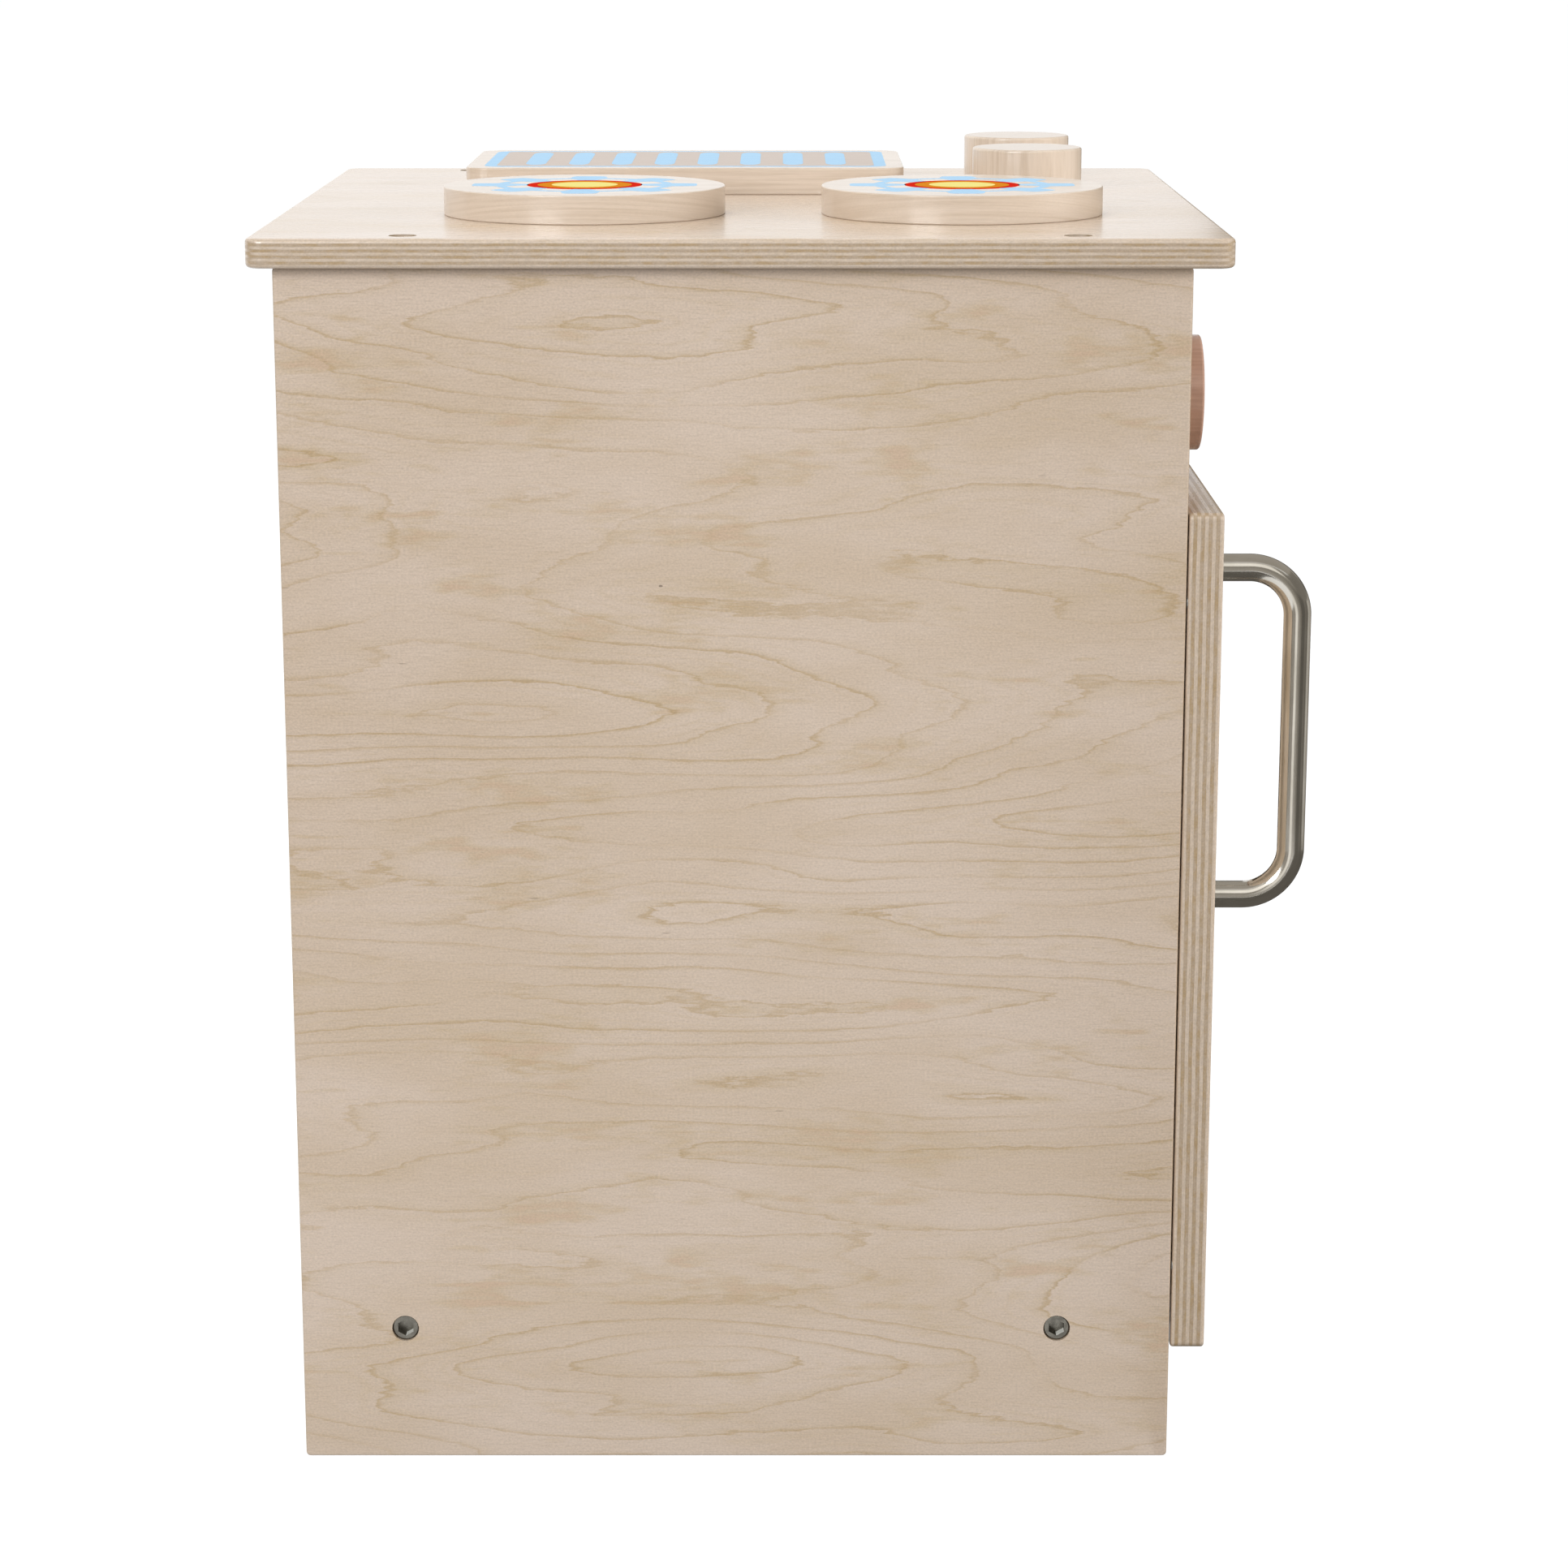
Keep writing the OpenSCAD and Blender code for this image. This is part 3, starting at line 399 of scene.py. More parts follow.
# %% [markdown]
# ## Rotary-cut birch veneer
#
# A plywood face is peeled from the log like paper from a roll. The knife runs almost along the
# growth rings, so each ring shows as a long flame or a closed lens, the way contour lines draw a
# hill. That is how this finish makes it: a stretched cloud of noise is the hill, and the fraction
# of its height times the number of rings gives lines that fade in slowly and end sharply. A
# picture of wood could be laid on instead, but it would repeat, and it would stop at the edges.

# %% The hill whose contours are the rings
# How many rings the noise's full height has, and how many hills a metre has along and across.
RINGS = 18.0
FLAME = (2.3, 12.5)
# The probes are in metres, and the least steepness is in rings per metre.
PROBE_ALONG = 0.004
PROBE_ACROSS = 0.0008
LEAST_SLOPE = 40.0


def ring_hill(f, along, across, sheet):
    """The height of a stretched noise hill in rings, its steepness in rings per metre, and where
    its contours turn back. Two more samples, a short probe along and one across the grain, give
    the steepness in each direction. A contour turns back where the steepness is mostly along."""
    def height(step_along, step_across):
        spot = f.vector(f.math("MULTIPLY_ADD", along, FLAME[0], step_along * FLAME[0]),
                        f.math("MULTIPLY_ADD", across, FLAME[1], step_across * FLAME[1]), sheet)
        return f.times(f.noise(spot, detail=2.6, roughness=0.40), RINGS)

    here = height(0.0, 0.0)
    slope_across = f.math("DIVIDE", f.math("SUBTRACT", height(0.0, PROBE_ACROSS), here), PROBE_ACROSS)
    slope_along = f.math("DIVIDE", f.math("SUBTRACT", height(PROBE_ALONG, 0.0), here), PROBE_ALONG)
    slope = f.math("SQRT", f.math("ADD", f.squared(slope_across), f.squared(slope_along)))
    slope = f.math("MAXIMUM", slope, LEAST_SLOPE)
    lean = f.math("DIVIDE", f.math("ABSOLUTE", slope_across), slope)
    return here, slope, f.step(lean, 0.25, 0.80, 1.0, 0.0)


print("a flame is about", round(100 / FLAME[0]), "cm long and", round(100 / FLAME[1]), "cm wide")

# %% The face of a sheet
VENEER_PALE = srgb(209, 190, 172)
VENEER_WARM = srgb(201, 180, 157)
BLUSH = srgb(203, 171, 147)
RING_SHADE = srgb(189, 166, 127)
RING_LINE = srgb(168, 137, 84)
# A ring line's width and fade, in metres.
LINE_WIDTH = 0.0006
LINE_FADE = 0.0011


def ring_line(f, above, slope, turning):
    """A thin line where the hill crosses a whole number. The height above it, divided by the
    steepness, is the distance to the line in metres, which keeps every line equally thin. It
    ends sharply on one side, fades on the other, and is wider where it turns back."""
    rings_to_metres = f.math("DIVIDE", f.blend(turning, 1.0, 0.5), slope)
    past = f.times(above, rings_to_metres)
    before = f.times(f.math("SUBTRACT", 1.0, above), rings_to_metres)
    return f.math("MAXIMUM", f.step(past, 0.0, LINE_WIDTH, 1.0, 0.0),
                  f.step(before, 0.0001, LINE_FADE, 0.80, 0.0))


def veneer(f, along, across, sheet):
    """The face of one veneer sheet: two tones in slow clouds, darker and pinker patches, a soft
    shade and faint fine lines between the rings, and the ring lines, each with its own strength."""
    here, slope, turning = ring_hill(f, along, across, sheet)
    ragged = f.cloud((along, across, sheet), (70, 420, 1), roughness=0.6)
    height = f.disturb(here, ragged, 0.30)
    above = f.math("FRACT", height)
    line = ring_line(f, above, slope, turning)
    shade = f.math("MAXIMUM", f.step(above, 0.70, 1.0), f.step(above, 0.0, 0.05, 1.0, 0.0))

    # Each ring has its own strength. All are faint where the clear cloud is thin or rings crowd.
    clear = f.cloud((along, across, f.math("ADD", sheet, 5.0)), (9, 32, 1))
    ring_number = f.math("ADD", f.math("ROUND", height), sheet)
    chance = f.node("TexWhiteNoise", {"W": ring_number}, noise_dimensions="1D").outputs["Value"]
    strength = f.times(f.blend(chance, 0.45, 1.0), f.step(clear, 0.30, 0.55, 0.15, 1.0),
                       f.step(slope, 90.0, 300.0, 1.0, 0.50))
    thirds = f.math("SUBTRACT", f.math("FRACT", f.times(height, 3.0)), 0.5)
    fine = f.times(f.step(f.math("ABSOLUTE", thirds), 0.0, 0.22, 1.0, 0.0),
                   f.step(clear, 0.40, 0.62, 0.0, 0.22))

    # The wood's own colour changes slowly, and some patches are darker, or pinker at their middle.
    tone = f.cloud((along, across, f.math("ADD", sheet, 11.0)), (5, 16, 1), detail=4.0, roughness=0.6)
    patch = f.cloud((along, across, f.math("ADD", sheet, 17.0)), (13, 42, 1), detail=3.0, roughness=0.62)
    patch = f.math("MULTIPLY_ADD", turning, 0.07, f.disturb(patch, ragged, 0.25))
    colour = f.tint(f.step(tone, 0.36, 0.66), VENEER_PALE, VENEER_WARM)
    colour = f.tint(f.step(patch, 0.55, 0.70, 0.0, 0.45), colour, RING_SHADE)
    colour = f.tint(f.step(patch, 0.63, 0.74, 0.0, 0.45), colour, BLUSH)
    soft = f.times(f.math("MAXIMUM", f.times(shade, 0.32), fine), strength)
    colour = f.tint(soft, colour, RING_SHADE)
    return f.tint(f.times(line, strength, 0.58), colour, RING_LINE)


print("ring lines are", LINE_WIDTH * 1000, "mm wide, with", LINE_FADE * 1000, "mm of fade")

# %% [markdown]
# ## Layers, edges and small marks
#
# The board is also solid. Its thickness is divided into plies whose grain alternates, so wherever
# a cut meets the wood, on an edge, a round or a counterbore, the same rule shows pale long grain
# in one ply and darker end grain in the next. Nothing has to be painted on the edges by hand.

# %% Edges and marks
LONG_GRAIN = srgb(206, 188, 169)
END_GRAIN = srgb(180, 160, 138)
SPECK = srgb(96, 80, 64)


def cut_edge(f, along, across, depth, end, layer):
    """Wood where the saw went through: pale long grain, or darker end grain where end is 1, both
    mottled and streaked, with a thin dark seam of glue where the layer's number is whole."""
    mottle = f.cloud((along, across, depth), (130, 130, 420), detail=3.0, roughness=0.65)
    streaks = f.cloud((along, across, depth), (300, 620, 200), roughness=0.6)
    cut = f.tint(end, LONG_GRAIN, END_GRAIN)
    cut = f.tint(f.times(f.step(mottle, 0.40, 0.66, 0.04, 0.56), f.blend(end, 0.30, 1.0)), cut, RING_LINE)
    cut = f.tint(f.times(f.step(streaks, 0.50, 0.75, 0.0, 0.40), f.blend(end, 0.4, 1.0)), cut, END_GRAIN)
    seam = f.math("ABSOLUTE", f.math("SUBTRACT", f.math("FRACT", layer), 0.5))
    return f.tint(f.step(seam, 0.44, 0.50, 0.0, 0.22), cut, SPECK)


def marks(f, along, across, sheet, cells, size, share):
    """Scattered small marks: near the middle of a share of the cells, within size of it. cells is
    how many there are per metre along and across the grain."""
    spot = f.vector(f.times(along, cells[0]), f.times(across, cells[1]), sheet)
    cell = f.node("TexVoronoi", {"Vector": spot, "Scale": 1.0})
    picked = f.math("LESS_THAN", f.split(cell.outputs["Color"])[0], share)
    return f.times(f.step(cell.outputs["Distance"], size * 0.6, size, 1.0, 0.0), picked)


print("wood at a cut: long grain", [round(v, 2) for v in LONG_GRAIN[:3]],
      "end grain", [round(v, 2) for v in END_GRAIN[:3]])

# %% Plywood
# How far a ply's border wavers, in plies, how far apart two sheets are in the noise, and how far
# the fibres stand out, in metres.
WAVER = 0.40
SHEET_STEP = 3.7
PLY_RELIEF = 0.00005


def plywood(name, thickness_axis, grain_axis, low, thickness, plies, inner, seed):
    """Plywood cut from one sheet. The ply number is the distance from the middle divided by the
    inner plies' thickness, which is inner times an equal share. Odd plies run across the grain."""
    f = Finish(name)
    place, facing = f.place(), f.facing()
    cross_axis = 3 - thickness_axis - grain_axis
    depth = f.math("SUBTRACT", place[thickness_axis], low)
    per_metre = plies / (thickness * inner)
    layer = f.math("MULTIPLY_ADD", depth, per_metre, plies / 2 - per_metre * thickness / 2)
    layer = f.disturb(layer, f.cloud(place, (25, 25, 25), detail=1.0), WAVER)
    layer = f.math("MINIMUM", f.math("MAXIMUM", layer, 0.001), plies - 0.001)
    ply = f.math("FLOOR", layer)
    odd = f.math("MODULO", ply, 2.0)
    along = f.blend(odd, place[grain_axis], place[cross_axis])
    across = f.blend(odd, place[cross_axis], place[grain_axis])
    sheet = f.math("MULTIPLY_ADD", ply, SHEET_STEP, seed)
    fibre = f.cloud((along, across, depth), (110, 1100, 1100), roughness=0.6)
    nap = f.cloud((along, across, depth), (880, 1150, 1150), detail=1.0)

    # An edge shows end grain where it faces along its ply's grain.
    end = f.step(f.squared(f.blend(odd, facing[grain_axis], facing[cross_axis])), 0.1, 0.7)
    flatness = f.step(f.squared(facing[thickness_axis]), 0.35, 0.85)
    colour = f.tint(flatness, cut_edge(f, along, across, depth, end, layer),
                    veneer(f, along, across, sheet))
    shade = f.math("MULTIPLY_ADD", fibre, 0.14, f.math("MULTIPLY_ADD", nap, 0.38, 0.74))
    colour = f.shaded(colour, shade)
    dots = marks(f, along, across, sheet, cells=(20, 36), size=0.022, share=0.30)
    dashes = marks(f, along, across, f.math("ADD", sheet, 0.4), cells=(18, 150), size=0.055, share=0.10)
    colour = f.tint(f.times(f.math("MAXIMUM", dots, f.times(dashes, 0.6)), 0.7), colour, SPECK)

    roughness = f.blend(end, f.step(fibre, 0.3, 0.7, 0.26, 0.34), 0.40)
    relief = f.math("MULTIPLY_ADD", nap, 0.5, fibre)
    return f.close(colour, roughness, relief, depth=PLY_RELIEF, coat_weight=0.6, coat_roughness=0.20)


print("plies waver by up to", WAVER / 2, "of a ply, and the surface by", PLY_RELIEF * 1000, "mm")

# %% Boards
X, Y, Z = 0, 1, 2
# Each board's thickness axis, grain axis, number of plies, inner plies' share and seed.
BOARDS = {
    "left_side_panel": (X, Y, 9, 0.96, 2.0),
    "right_side_panel": (X, Y, 9, 0.96, 31.0),
    "bottom_board": (Z, X, 9, 0.96, 41.0),
    "ceiling_board": (Z, X, 9, 0.96, 52.0),
    "back_board": (Y, X, 5, 0.96, 63.0),
    "control_board": (Y, X, 9, 0.96, 74.0),
    "countertop": (Z, Y, 9, 0.90, 85.0),
    "door_panel": (Y, Z, 9, 0.97, 96.0),
    "oven_rack": (Z, X, 7, 0.96, 107.0),
}


def dress(node, material):
    """Gives a ready-made piece one finish all over."""
    mesh = frame["nodes"][node].data
    mesh.materials.clear()
    mesh.materials.append(material)


for board, (thickness_axis, grain_axis, plies, inner, seed) in BOARDS.items():
    low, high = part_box(board)
    thick = high[thickness_axis] - low[thickness_axis]
    dress(board, plywood(board + "_birch", thickness_axis, grain_axis, low[thickness_axis], thick,
                         plies, inner, seed))
    print(board, plies, "plies in", round(thick * 1000, 2), "mm")

# %% [markdown]
# ## Solid birch
#
# The hob plates and the knobs are solid wood. Growth rings are cylinders round the log's heart,
# so a plate sawn beside the heart shows calm, nearly parallel lines, and its rim turns from long
# grain into end grain as it goes round. One function places the heart and the grain's direction.
# The front knobs are the same wood under a rosy brown stain.

# %% Wood with a heart
# Each wood's pale tone, warm tone and end grain. A ring's tone rises slowly towards the next ring
# and falls sharply after it, and the rings sway by so many rings.
CLEAR_BIRCH = srgb(210, 194, 177), srgb(195, 177, 157), srgb(186, 166, 145)
STAINED_BIRCH = srgb(203, 162, 140), srgb(189, 147, 125), srgb(176, 135, 114)
RING_TONE = [(0.0, 0.6), (0.12, 0.0), (0.5, 0.05), (0.85, 0.55), (1.0, 1.0)]
RING_SWAY = 2.4


def solid_birch(name, grain_axis, heart, ring_width, tones, rough):
    """Solid wood. The ring number is the distance from the heart's line divided by the ring's
    width, plus a sway. Streaks follow the rings because their clouds are counted along the grain,
    round the heart and away from it."""
    f = Finish(name)
    pale, warm, end_colour = tones
    place, facing = f.place(), f.facing()
    a_axis, b_axis = [k for k in range(3) if k != grain_axis]
    along = place[grain_axis]
    a = f.math("SUBTRACT", place[a_axis], heart[0])
    b = f.math("SUBTRACT", place[b_axis], heart[1])
    radius = f.math("SQRT", f.math("ADD", f.squared(a), f.squared(b)))
    turn = f.math("ARCTAN2", a, b)
    sway = f.cloud((along, turn, radius), (7, 4, 30))
    rings = f.math("ADD", f.math("DIVIDE", radius, ring_width), f.times(sway, RING_SWAY))
    line = f.curve(f.math("FRACT", rings), RING_TONE)
    streak = f.cloud((along, turn, radius), (16, 14, 850), detail=3.0, roughness=0.6)
    fibre = f.cloud((along, a, b), (120, 1500, 1500), roughness=0.6)

    colour = f.tint(f.times(line, 0.35), pale, warm)
    colour = f.tint(f.step(streak, 0.40, 0.70, 0.0, 0.8), colour, warm)
    colour = f.tint(f.step(f.squared(facing[grain_axis]), 0.3, 0.95, 0.0, 0.45), colour, end_colour)
    colour = f.shaded(colour, f.math("MULTIPLY_ADD", fibre, 0.16, 0.92))
    roughness = f.step(fibre, 0.3, 0.7, rough - 0.04, rough + 0.06)
    return f.close(colour, roughness, fibre, depth=0.00004, coat_weight=0.7, coat_roughness=0.16)


print("a ring's tone, from one ring line to the next:", RING_TONE)

# %% Plates and knobs
PLATES = ("front_burner_plate", "back_burner_plate", "griddle_plate")
TOP_KNOBS = ("left_top_knob", "right_top_knob")
FRONT_KNOBS = ("left_front_knob", "middle_front_knob", "right_front_knob")

plate_wood = solid_birch("plate_birch", Y, (0.02, 1.40), 0.0026, CLEAR_BIRCH, 0.42)
turned_wood = solid_birch("turned_birch", Z, (0.30, -0.06), 0.0022, CLEAR_BIRCH, 0.40)
stained_wood = solid_birch("stained_birch", Y, (-0.30, 0.20), 0.0024, STAINED_BIRCH, 0.38)

for node in PLATES:
    dress(node, plate_wood)
for node in (*TOP_KNOBS, "dowels"):
    dress(node, turned_wood)
for node in FRONT_KNOBS:
    dress(node, stained_wood)
print("plates:", len(PLATES), "top knobs:", len(TOP_KNOBS), "front knobs:", len(FRONT_KNOBS))

# %% [markdown]
# ## Metal, nylon and acrylic
#
# Plated hardware is never even: the zinc has a fine cloud in it. The flats in the sockets of the dark
# bolt heads that face up and back get a painted highlight, a pale colour with no metal in it. A bare
# metal has no colour of its own apart from what it mirrors, so its finish is mostly in the roughness.
# The window pane is clear acrylic, which bends light like glass.

# %% Metals
# In metres: the relief of the plating, and the height below which bolt sockets get a painted highlight.
PLATED_RELIEF = 0.000008
SOCKETS_BELOW = 0.3


def plated(name, pale, dark, smooth, rough, cloud_size, painted_highlight=None):
    """Plated metal whose colour and roughness drift in clouds of the given size. Where the last colour
    is given, it is a painted highlight: the socket flats near the floor that face up and back get
    that pale colour instead of metal."""
    f = Finish(name)
    place = f.place()
    cloud = f.cloud(place, (1 / cloud_size,) * 3, detail=3.0)
    grit = f.cloud(place, (5000, 5000, 5000), detail=1.0)
    colour = f.tint(f.step(cloud, 0.3, 0.7), pale, dark)
    metallic = 1.0
    if painted_highlight is not None:
        facing = f.facing()
        # Painted highlight: low flats facing up and back turn pale and lose their metal, where a lamp
        # would be mirrored.
        flat = f.times(f.math("GREATER_THAN", facing[Z], 0.3), f.math("GREATER_THAN", facing[Y], 0.3),
                       f.math("LESS_THAN", place[Z], SOCKETS_BELOW))
        colour = f.tint(flat, colour, painted_highlight)
        metallic = f.math("SUBTRACT", 1.0, flat)
    return f.close(colour, f.step(cloud, 0.3, 0.7, smooth, rough), grit, depth=PLATED_RELIEF,
                   metallic=metallic)


def brushed(name, axis, pale, dark):
    """Rolled strip with hair lines along one axis."""
    f = Finish(name)
    counts = [2600, 2600, 2600]
    counts[axis] = 30
    hair = f.cloud(f.place(), counts)
    colour = f.tint(f.step(hair, 0.3, 0.7), pale, dark)
    return f.close(colour, f.step(hair, 0.3, 0.7, 0.24, 0.40), hair, depth=0.000010, metallic=1.0)


zinc = plated("zinc_steel", srgb(205, 204, 200), srgb(178, 178, 176), 0.26, 0.38, 0.004)
# The dark nickel's pale third colour is a painted highlight on the flats in its bolt sockets.
nickel = plated("dark_nickel", srgb(122, 119, 111), srgb(106, 103, 96), 0.22, 0.34, 0.003,
                painted_highlight=srgb(238, 238, 230))
brass = plated("brass", srgb(216, 186, 120), srgb(196, 162, 96), 0.24, 0.36, 0.003)
hinge_steel = brushed("hinge_steel", Z, srgb(206, 205, 201), srgb(176, 176, 173))
print("metals:", [metal.name for metal in (zinc, nickel, brass, hinge_steel)])


# %% Nylon and acrylic
def moulded_nylon():
    """Natural nylon: a milky white with a faint moulded texture."""
    f = Finish("natural_nylon")
    grain = f.cloud(f.place(), (2500, 2500, 2500))
    colour = f.tint(f.step(grain, 0.3, 0.7), srgb(238, 236, 228), srgb(228, 226, 217))
    return f.close(colour, f.step(grain, 0.3, 0.7, 0.40, 0.52), grain, depth=0.00002)


def clear_acrylic():
    """A clear sheet with the faintest haze from wiping. Its sawn edges, which face away from Y, are
    frosted. An alpha under 1 lets lamplight through to the wood behind the sheet."""
    f = Finish("clear_acrylic")
    haze = f.cloud(f.place(), (40, 40, 40), detail=4.0)
    sheet = f.step(f.squared(f.facing()[Y]), 0.3, 0.7)
    colour = f.tint(f.step(haze, 0.3, 0.7), srgb(248, 252, 252), srgb(240, 247, 248))
    colour = f.tint(sheet, srgb(214, 222, 221), colour)
    rough = f.blend(sheet, 0.5, f.step(haze, 0.4, 0.8, 0.01, 0.05))
    return f.close(colour, rough, transmission_weight=sheet, ior=1.49, alpha=0.35)


nylon, acrylic = moulded_nylon(), clear_acrylic()
print("plastics:", nylon.name, acrylic.name)

# %% Hardware
for node in ("plate_screws", "back_screws", "rack_pins", "hinge_frame_screws", "hinge_door_screws",
             "window_screws", "handle_screws", "strike_discs", "door_magnets"):
    dress(node, zinc)
for knob in (*FRONT_KNOBS, *TOP_KNOBS):
    dress(knob + "_insert", brass)
    dress(knob + "_bolt", zinc)
for node in ("hinge_fixed_leaf", "hinge_door_leaf", "hinge_pin"):
    dress(node, hinge_steel)
dress("connector_bolts", nickel)
dress("barrel_nuts", brass)
dress("knob_washers", nylon)
dress("window_pane", acrylic)
undressed = [n for n, o in frame["nodes"].items() if len(o.data.materials) != 1]
print("pieces left without a finish:", undressed)

# %% [markdown]
# ## The grip
#
# The grip is a bent steel rod, polished along its length. A rod is a circle carried along a
# path: two legs, two quarter bends and the straight between them. Making it anew, rather than
# keeping the ready-made piece, gives its skin a length and a girth to lay the polishing lines on.

# %% The rod's path
# The rod's thickness, and the radius of its bends along the rod's middle, in metres.
ROD = 0.0125
BEND = 0.022


def rod_path(reach, half_length, bend, bend_points=25, leg_points=6, grip_points=14):
    """Points along a bent rod in its own plane: out, round a quarter, along, round, and back."""
    turn = np.linspace(0, math.pi / 2, bend_points)
    upper = np.stack([reach - bend + bend * np.sin(turn), half_length - bend + bend * np.cos(turn)], 1)
    lower = upper[::-1] * (1, -1)
    legs = np.linspace(0, reach - bend, leg_points)[:-1]
    top_leg = np.stack([legs, np.full_like(legs, half_length)], 1)
    bottom_leg = top_leg[::-1] * (1, -1)
    straight = np.linspace(half_length - bend, bend - half_length, grip_points)[1:-1]
    grip = np.stack([np.full_like(straight, reach), straight], 1)
    return np.vstack([top_leg, upper, grip, lower, bottom_leg])


low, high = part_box("door_handle")
door_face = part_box("door_panel")[0].y
path = rod_path(door_face - low.y - ROD / 2, (high.z - low.z - ROD) / 2, BEND)
run = np.concatenate([[0], np.cumsum(np.linalg.norm(np.diff(path, axis=0), axis=1))])
print("rod's length:", round(run[-1] * 1000, 1), "mm, reach:", round((door_face - low.y) * 1000, 1), "mm")

# %% A circle carried along the path
ROUND_STEPS = 64


def surface(name, points, wrap_rows=False, wrap_columns=False, close_ends=False):
    """A mesh from a grid of points, rows by columns. Each cell becomes one face."""
    rows, columns = points.shape[:2]
    index = np.arange(rows * columns).reshape(rows, columns)
    if wrap_columns:
        index = np.hstack([index, index[:, :1]])
    if wrap_rows:
        index = np.vstack([index, index[:1]])
    cells = np.stack([index[:-1, :-1], index[:-1, 1:], index[1:, 1:], index[1:, :-1]], axis=-1)
    faces = cells.reshape(-1, 4).tolist()
    if close_ends:
        faces += [index[0, :columns][::-1].tolist(), index[-1, :columns].tolist()]
    mesh = bpy.data.meshes.new(name)
    mesh.from_pydata(points.reshape(-1, 3), [], faces)
    made = bpy.data.objects.new(name, mesh)
    bpy.context.scene.collection.objects.link(made)
    return made


def rod_points(path, place_x, place_y, middle_z):
    """A grid of points on the rod. Each row is a circle square to the path: the path's point, plus
    the radius times the cosine along the path's own normal and the sine along X."""
    ahead = np.gradient(path, axis=0)
    ahead /= np.linalg.norm(ahead, axis=1, keepdims=True)
    around = np.linspace(0, 2 * math.pi, ROUND_STEPS, endpoint=False)
    normal = np.stack([ahead[:, 1], -ahead[:, 0]], 1)
    in_plane = path[:, None, :] + (ROD / 2 * np.cos(around))[None, :, None] * normal[:, None, :]
    points = np.empty((len(path), ROUND_STEPS, 3))
    points[..., 0] = place_x + ROD / 2 * np.sin(around)[None, :]
    points[..., 1] = place_y - in_plane[..., 0]
    points[..., 2] = middle_z + in_plane[..., 1]
    return points


points = rod_points(path, (low.x + high.x) / 2, door_face, (low.z + high.z) / 2)
grip = surface("door_grip", points, wrap_columns=True, close_ends=True)
print("grip's grid:", points.shape)


# %% The grip's polish
def lengthwise_map(made, run, columns):
    """A map in metres: the distance run along the rod, and the distance round it. A face that
    closes the loop of columns gets the full girth instead of zero."""
    mesh = made.data
    corner = np.empty(len(mesh.loops), int)
    mesh.loops.foreach_get("vertex_index", corner)
    row, column = corner // columns, corner % columns
    map_points = np.stack([run[row], column / columns * math.pi * ROD], 1)
    starts = np.array([p.loop_start for p in mesh.polygons])
    sizes = np.array([p.loop_total for p in mesh.polygons])
    face = np.repeat(np.arange(len(starts)), sizes)
    widest = np.zeros(len(starts))
    np.maximum.at(widest, face, column)
    seam = (sizes[face] == 4) & (widest[face] == columns - 1) & (column == 0)
    map_points[seam, 1] = math.pi * ROD
    layer = mesh.uv_layers.new(name="lengthwise")
    layer.data.foreach_set("uv", map_points.astype(np.float32).ravel())
    return map_points


def polished_rod():
    """Stainless steel with fine polishing lines that run along the rod."""
    f = Finish("polished_stainless")
    run, girth, _ = f.split(f.node("UVMap", uv_map="lengthwise").outputs[0])
    hair = f.cloud((run, girth, 0.0), (60, 4200, 1))
    smear = f.cloud((run, girth, 3.0), (45, 160, 1), detail=3.0)
    colour = f.tint(f.step(smear, 0.3, 0.7), srgb(208, 204, 196), srgb(192, 188, 179))
    rough = f.math("ADD", f.step(hair, 0.3, 0.7, 0.10, 0.16), f.step(smear, 0.4, 0.8, 0.0, 0.06))
    return f.close(colour, rough, hair, depth=0.000003, metallic=1.0)


map_points = lengthwise_map(grip, run, ROUND_STEPS)
grip.data.materials.append(polished_rod())
grip.data.shade_smooth()
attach(grip, "door")
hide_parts("door_handle")
print("rod's map:", (map_points.max(axis=0) * 1000).round(1), "mm")

# %% [markdown]
# ## Printed hob plates
#
# The plates carry a plain screen print in play colours. A print is a few hundredths of a
# millimetre of ink, so each ink here is a thin flat piece that lies on the wood. All of them are
# shapes seen from their centre: a radius for each direction, or an inner and an outer radius.

# %% Inks
# The thickness of one ink, in metres.
INK = 0.00005


def ink(name, colour, deep):
    """A dull ink in which the wood's grain still shows as a faint unevenness."""
    f = Finish(name)
    place = f.place()
    telegraph = f.cloud(place, (900, 90, 1))
    mesh_dots = f.cloud(place, (3000, 3000, 1), detail=1.0)
    tone = f.tint(f.step(telegraph, 0.35, 0.75, 0.0, 0.6), colour, deep)
    return f.close(tone, f.step(mesh_dots, 0.3, 0.7, 0.55, 0.68), mesh_dots, depth=0.00001,
                   specular_ior_level=0.0)


INKS = {
    "blue": ink("ink_light_blue", srgb(170, 202, 226), srgb(163, 195, 219)),
    "red": ink("ink_red", srgb(205, 40, 24), srgb(190, 34, 20)),
    "orange": ink("ink_orange", srgb(206, 130, 36), srgb(196, 120, 32)),
    "yellow": ink("ink_yellow", srgb(226, 214, 132), srgb(219, 205, 120)),
    "greige": ink("ink_greige", srgb(198, 187, 179), srgb(191, 180, 171)),
}
print("inks:", ", ".join(INKS), "at", INK * 1000, "mm each")


# %% A patch of ink
def ink_patch(name, outline, height, colour, hole=None):
    """A thin closed slab: the outline at two heights, with a flat face at each. Where it has a
    hole, its rows start at the hole's outline instead, run under the rim, up the rim's edge and
    back over the top to where they began."""
    holed = hole is not None
    under = height - INK
    rows = [(outline, under), (outline, height)]
    if holed:
        rows = [(hole, under), *rows, (hole, height)]
    points = np.stack([np.column_stack([edge, np.full(len(edge), z)]) for edge, z in rows])
    made = surface(name, points, wrap_columns=True, wrap_rows=holed, close_ends=not holed)
    made.data.materials.append(INKS[colour])
    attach(made, "cabinet")
    return made


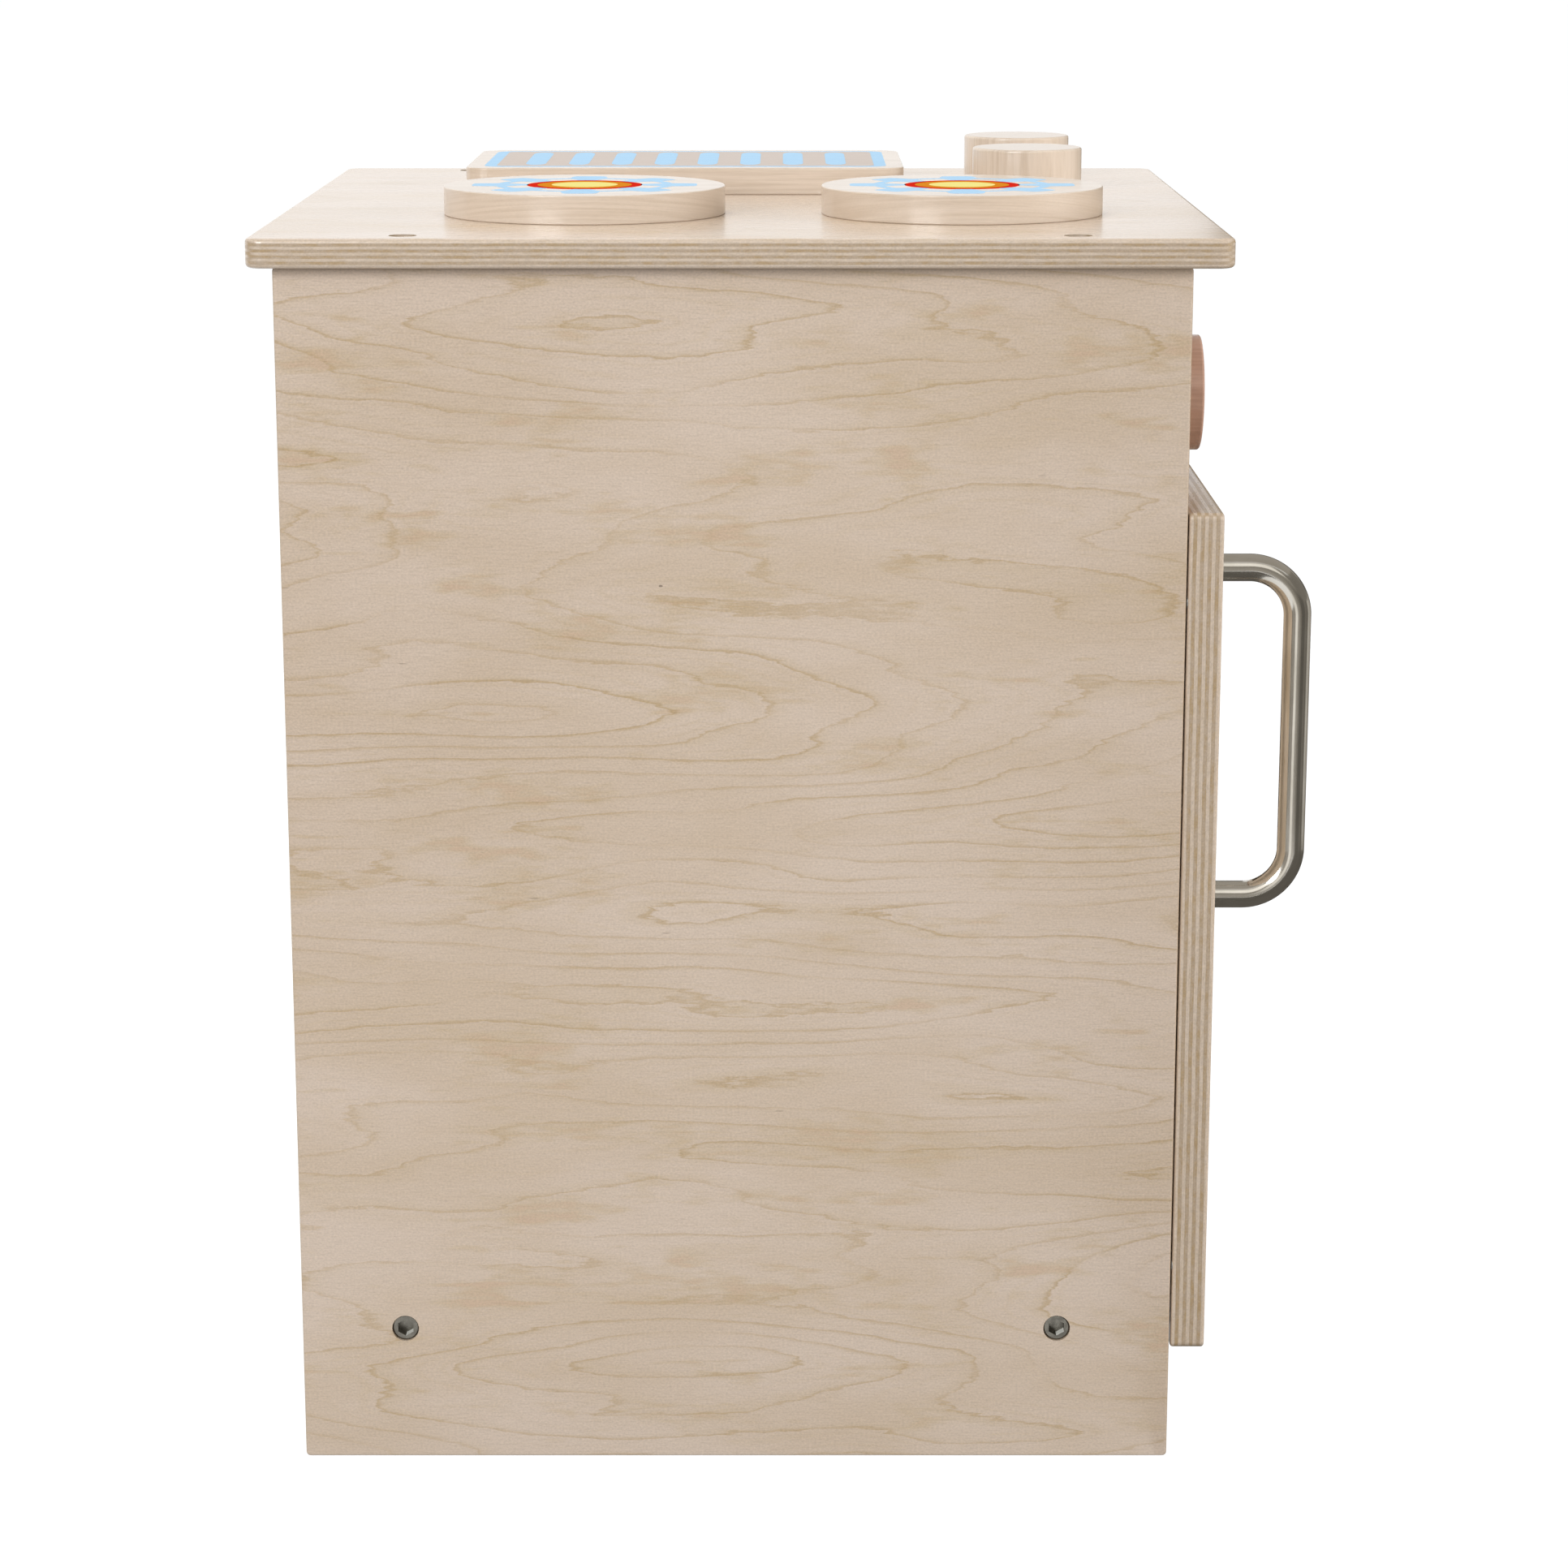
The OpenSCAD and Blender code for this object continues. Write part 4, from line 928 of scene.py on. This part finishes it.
burner_low, burner_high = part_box("front_burner_plate")
burner_radius = (burner_high.y - burner_low.y) / 2
plate_top = burner_high.z
print("plates' tops:", round(plate_top * 1000, 1), "mm, radius:", round(burner_radius * 1000, 1), "mm")

# %% Burner prints
# The ring of tabs: how many, and its middle, half width and tabs as shares of the plate's radius.
TABS = 8
RING_MIDDLE = 0.60
RING_HALF = 0.035
TAB_LENGTH = 0.165
# Each disc's ink and its radius as a share of the plate's, from the lowest up.
BURNER_DISCS = [("red", 0.41), ("orange", 0.335), ("yellow", 0.235)]
directions = np.linspace(0, 2 * math.pi, 384, endpoint=False)
outwards = np.stack([np.cos(directions), np.sin(directions)], 1)


def circle(centre, radius):
    """Points round a circle."""
    return np.array(centre) + radius * outwards


def tab_ring(centre, radius, side):
    """One edge of the ring of tabs, the outer one for a side of 1 and the inner one for -1: a
    circle whose radius grows or shrinks by a tab's length wherever the cosine of the direction
    times the number of tabs is near its top."""
    swing = np.clip((np.cos(TABS * directions) + 0.15) / 0.75, 0, 1)
    tab = np.sin(swing * math.pi / 2) ** 1.2
    reach = (RING_MIDDLE + side * RING_HALF + side * TAB_LENGTH * tab) * radius
    return np.array(centre) + reach[:, None] * outwards


for plate in ("front_burner_plate", "back_burner_plate"):
    low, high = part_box(plate)
    centre = ((low.x + high.x) / 2, (low.y + high.y) / 2)
    short = plate.replace("_plate", "")
    ink_patch(short + "_ring", tab_ring(centre, burner_radius, 1), plate_top + INK, "blue",
              hole=tab_ring(centre, burner_radius, -1))
    for layer, (colour, share) in enumerate(BURNER_DISCS):
        ink_patch(f"{short}_{colour}", circle(centre, share * burner_radius),
                  plate_top + INK * (1 + layer), colour)
    print(short, "centre", [round(c * 1000, 1) for c in centre])


# %% Outlines of the griddle print
def rounded_rectangle(centre, width, length, radius, steps=12):
    """Points round a rectangle whose corners are quarter circles."""
    quarter = np.linspace(0, math.pi / 2, steps)
    arc = radius * np.stack([np.cos(quarter), np.sin(quarter)], 1)
    corner = np.array([width / 2 - radius, length / 2 - radius])
    turn = np.array([[0, -1], [1, 0]])
    sides = []
    for k in range(4):
        local = corner if k % 2 == 0 else corner[::-1]
        sides.append((local + arc) @ np.linalg.matrix_power(turn.T, k))
    return np.array(centre) + np.vstack(sides)


def oval_bar(centre, length, width, end, steps=24):
    """Points round a bar. Each end is half an ellipse, end deep and half the bar's width high,
    that the power of 0.8 makes a little blunter."""
    turn = np.linspace(-math.pi / 2, math.pi / 2, steps)
    tip = np.stack([length / 2 - end + end * np.cos(turn) ** 0.8, width / 2 * np.sin(turn)], 1)
    return np.array(centre) + np.vstack([tip, -tip])


print("a bar has", len(oval_bar((0, 0), 0.1, 0.01, 0.01)), "points")

# %% Griddle print
# In metres: the margin round the print, its border, its corners and its bars.
MARGIN = 0.0085
BORDER = 0.006
BORDER_ACROSS = 0.8 * BORDER
BORDER_CORNER = 0.009
FIELD_CORNER = 0.005
BARS = 8
BAR_INSET = 0.0065
BAR_WIDTH = 0.0100
BAR_TIP = 0.014
# How far the last bar's middle is from the field's end, in steps from bar to bar.
BAR_END_STEPS = 0.875
low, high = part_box("griddle_plate")
griddle_mid = np.array([(low.x + high.x) / 2, (low.y + high.y) / 2])
print_w, print_l = high.x - low.x - 2 * MARGIN, high.y - low.y - 2 * MARGIN
field_w, field_l = print_w - 2 * BORDER_ACROSS, print_l - 2 * BORDER

ink_patch("griddle_border", rounded_rectangle(griddle_mid, print_w, print_l, BORDER_CORNER),
          plate_top + INK, "blue")
ink_patch("griddle_field", rounded_rectangle(griddle_mid, field_w, field_l, FIELD_CORNER),
          plate_top + 2 * INK, "greige")
pitch = field_l / (BARS - 1 + 2 * BAR_END_STEPS)
for k in range(BARS):
    bar_mid = griddle_mid + (0, (k - (BARS - 1) / 2) * pitch)
    ink_patch(f"griddle_bar_{k + 1}", oval_bar(bar_mid, field_w - 2 * BAR_INSET, BAR_WIDTH, BAR_TIP),
              plate_top + 3 * INK, "blue")
print("griddle print:", round(print_w * 1000, 1), "by", round(print_l * 1000, 1), "mm,", BARS, "bars")

# %% [markdown]
# ## Sizes
#
# The prints stand up to 0.15 mm above the plates, well below the tops of the knobs, and the grip
# is as large as the piece it replaces. So the whole oven's box is the same as before.
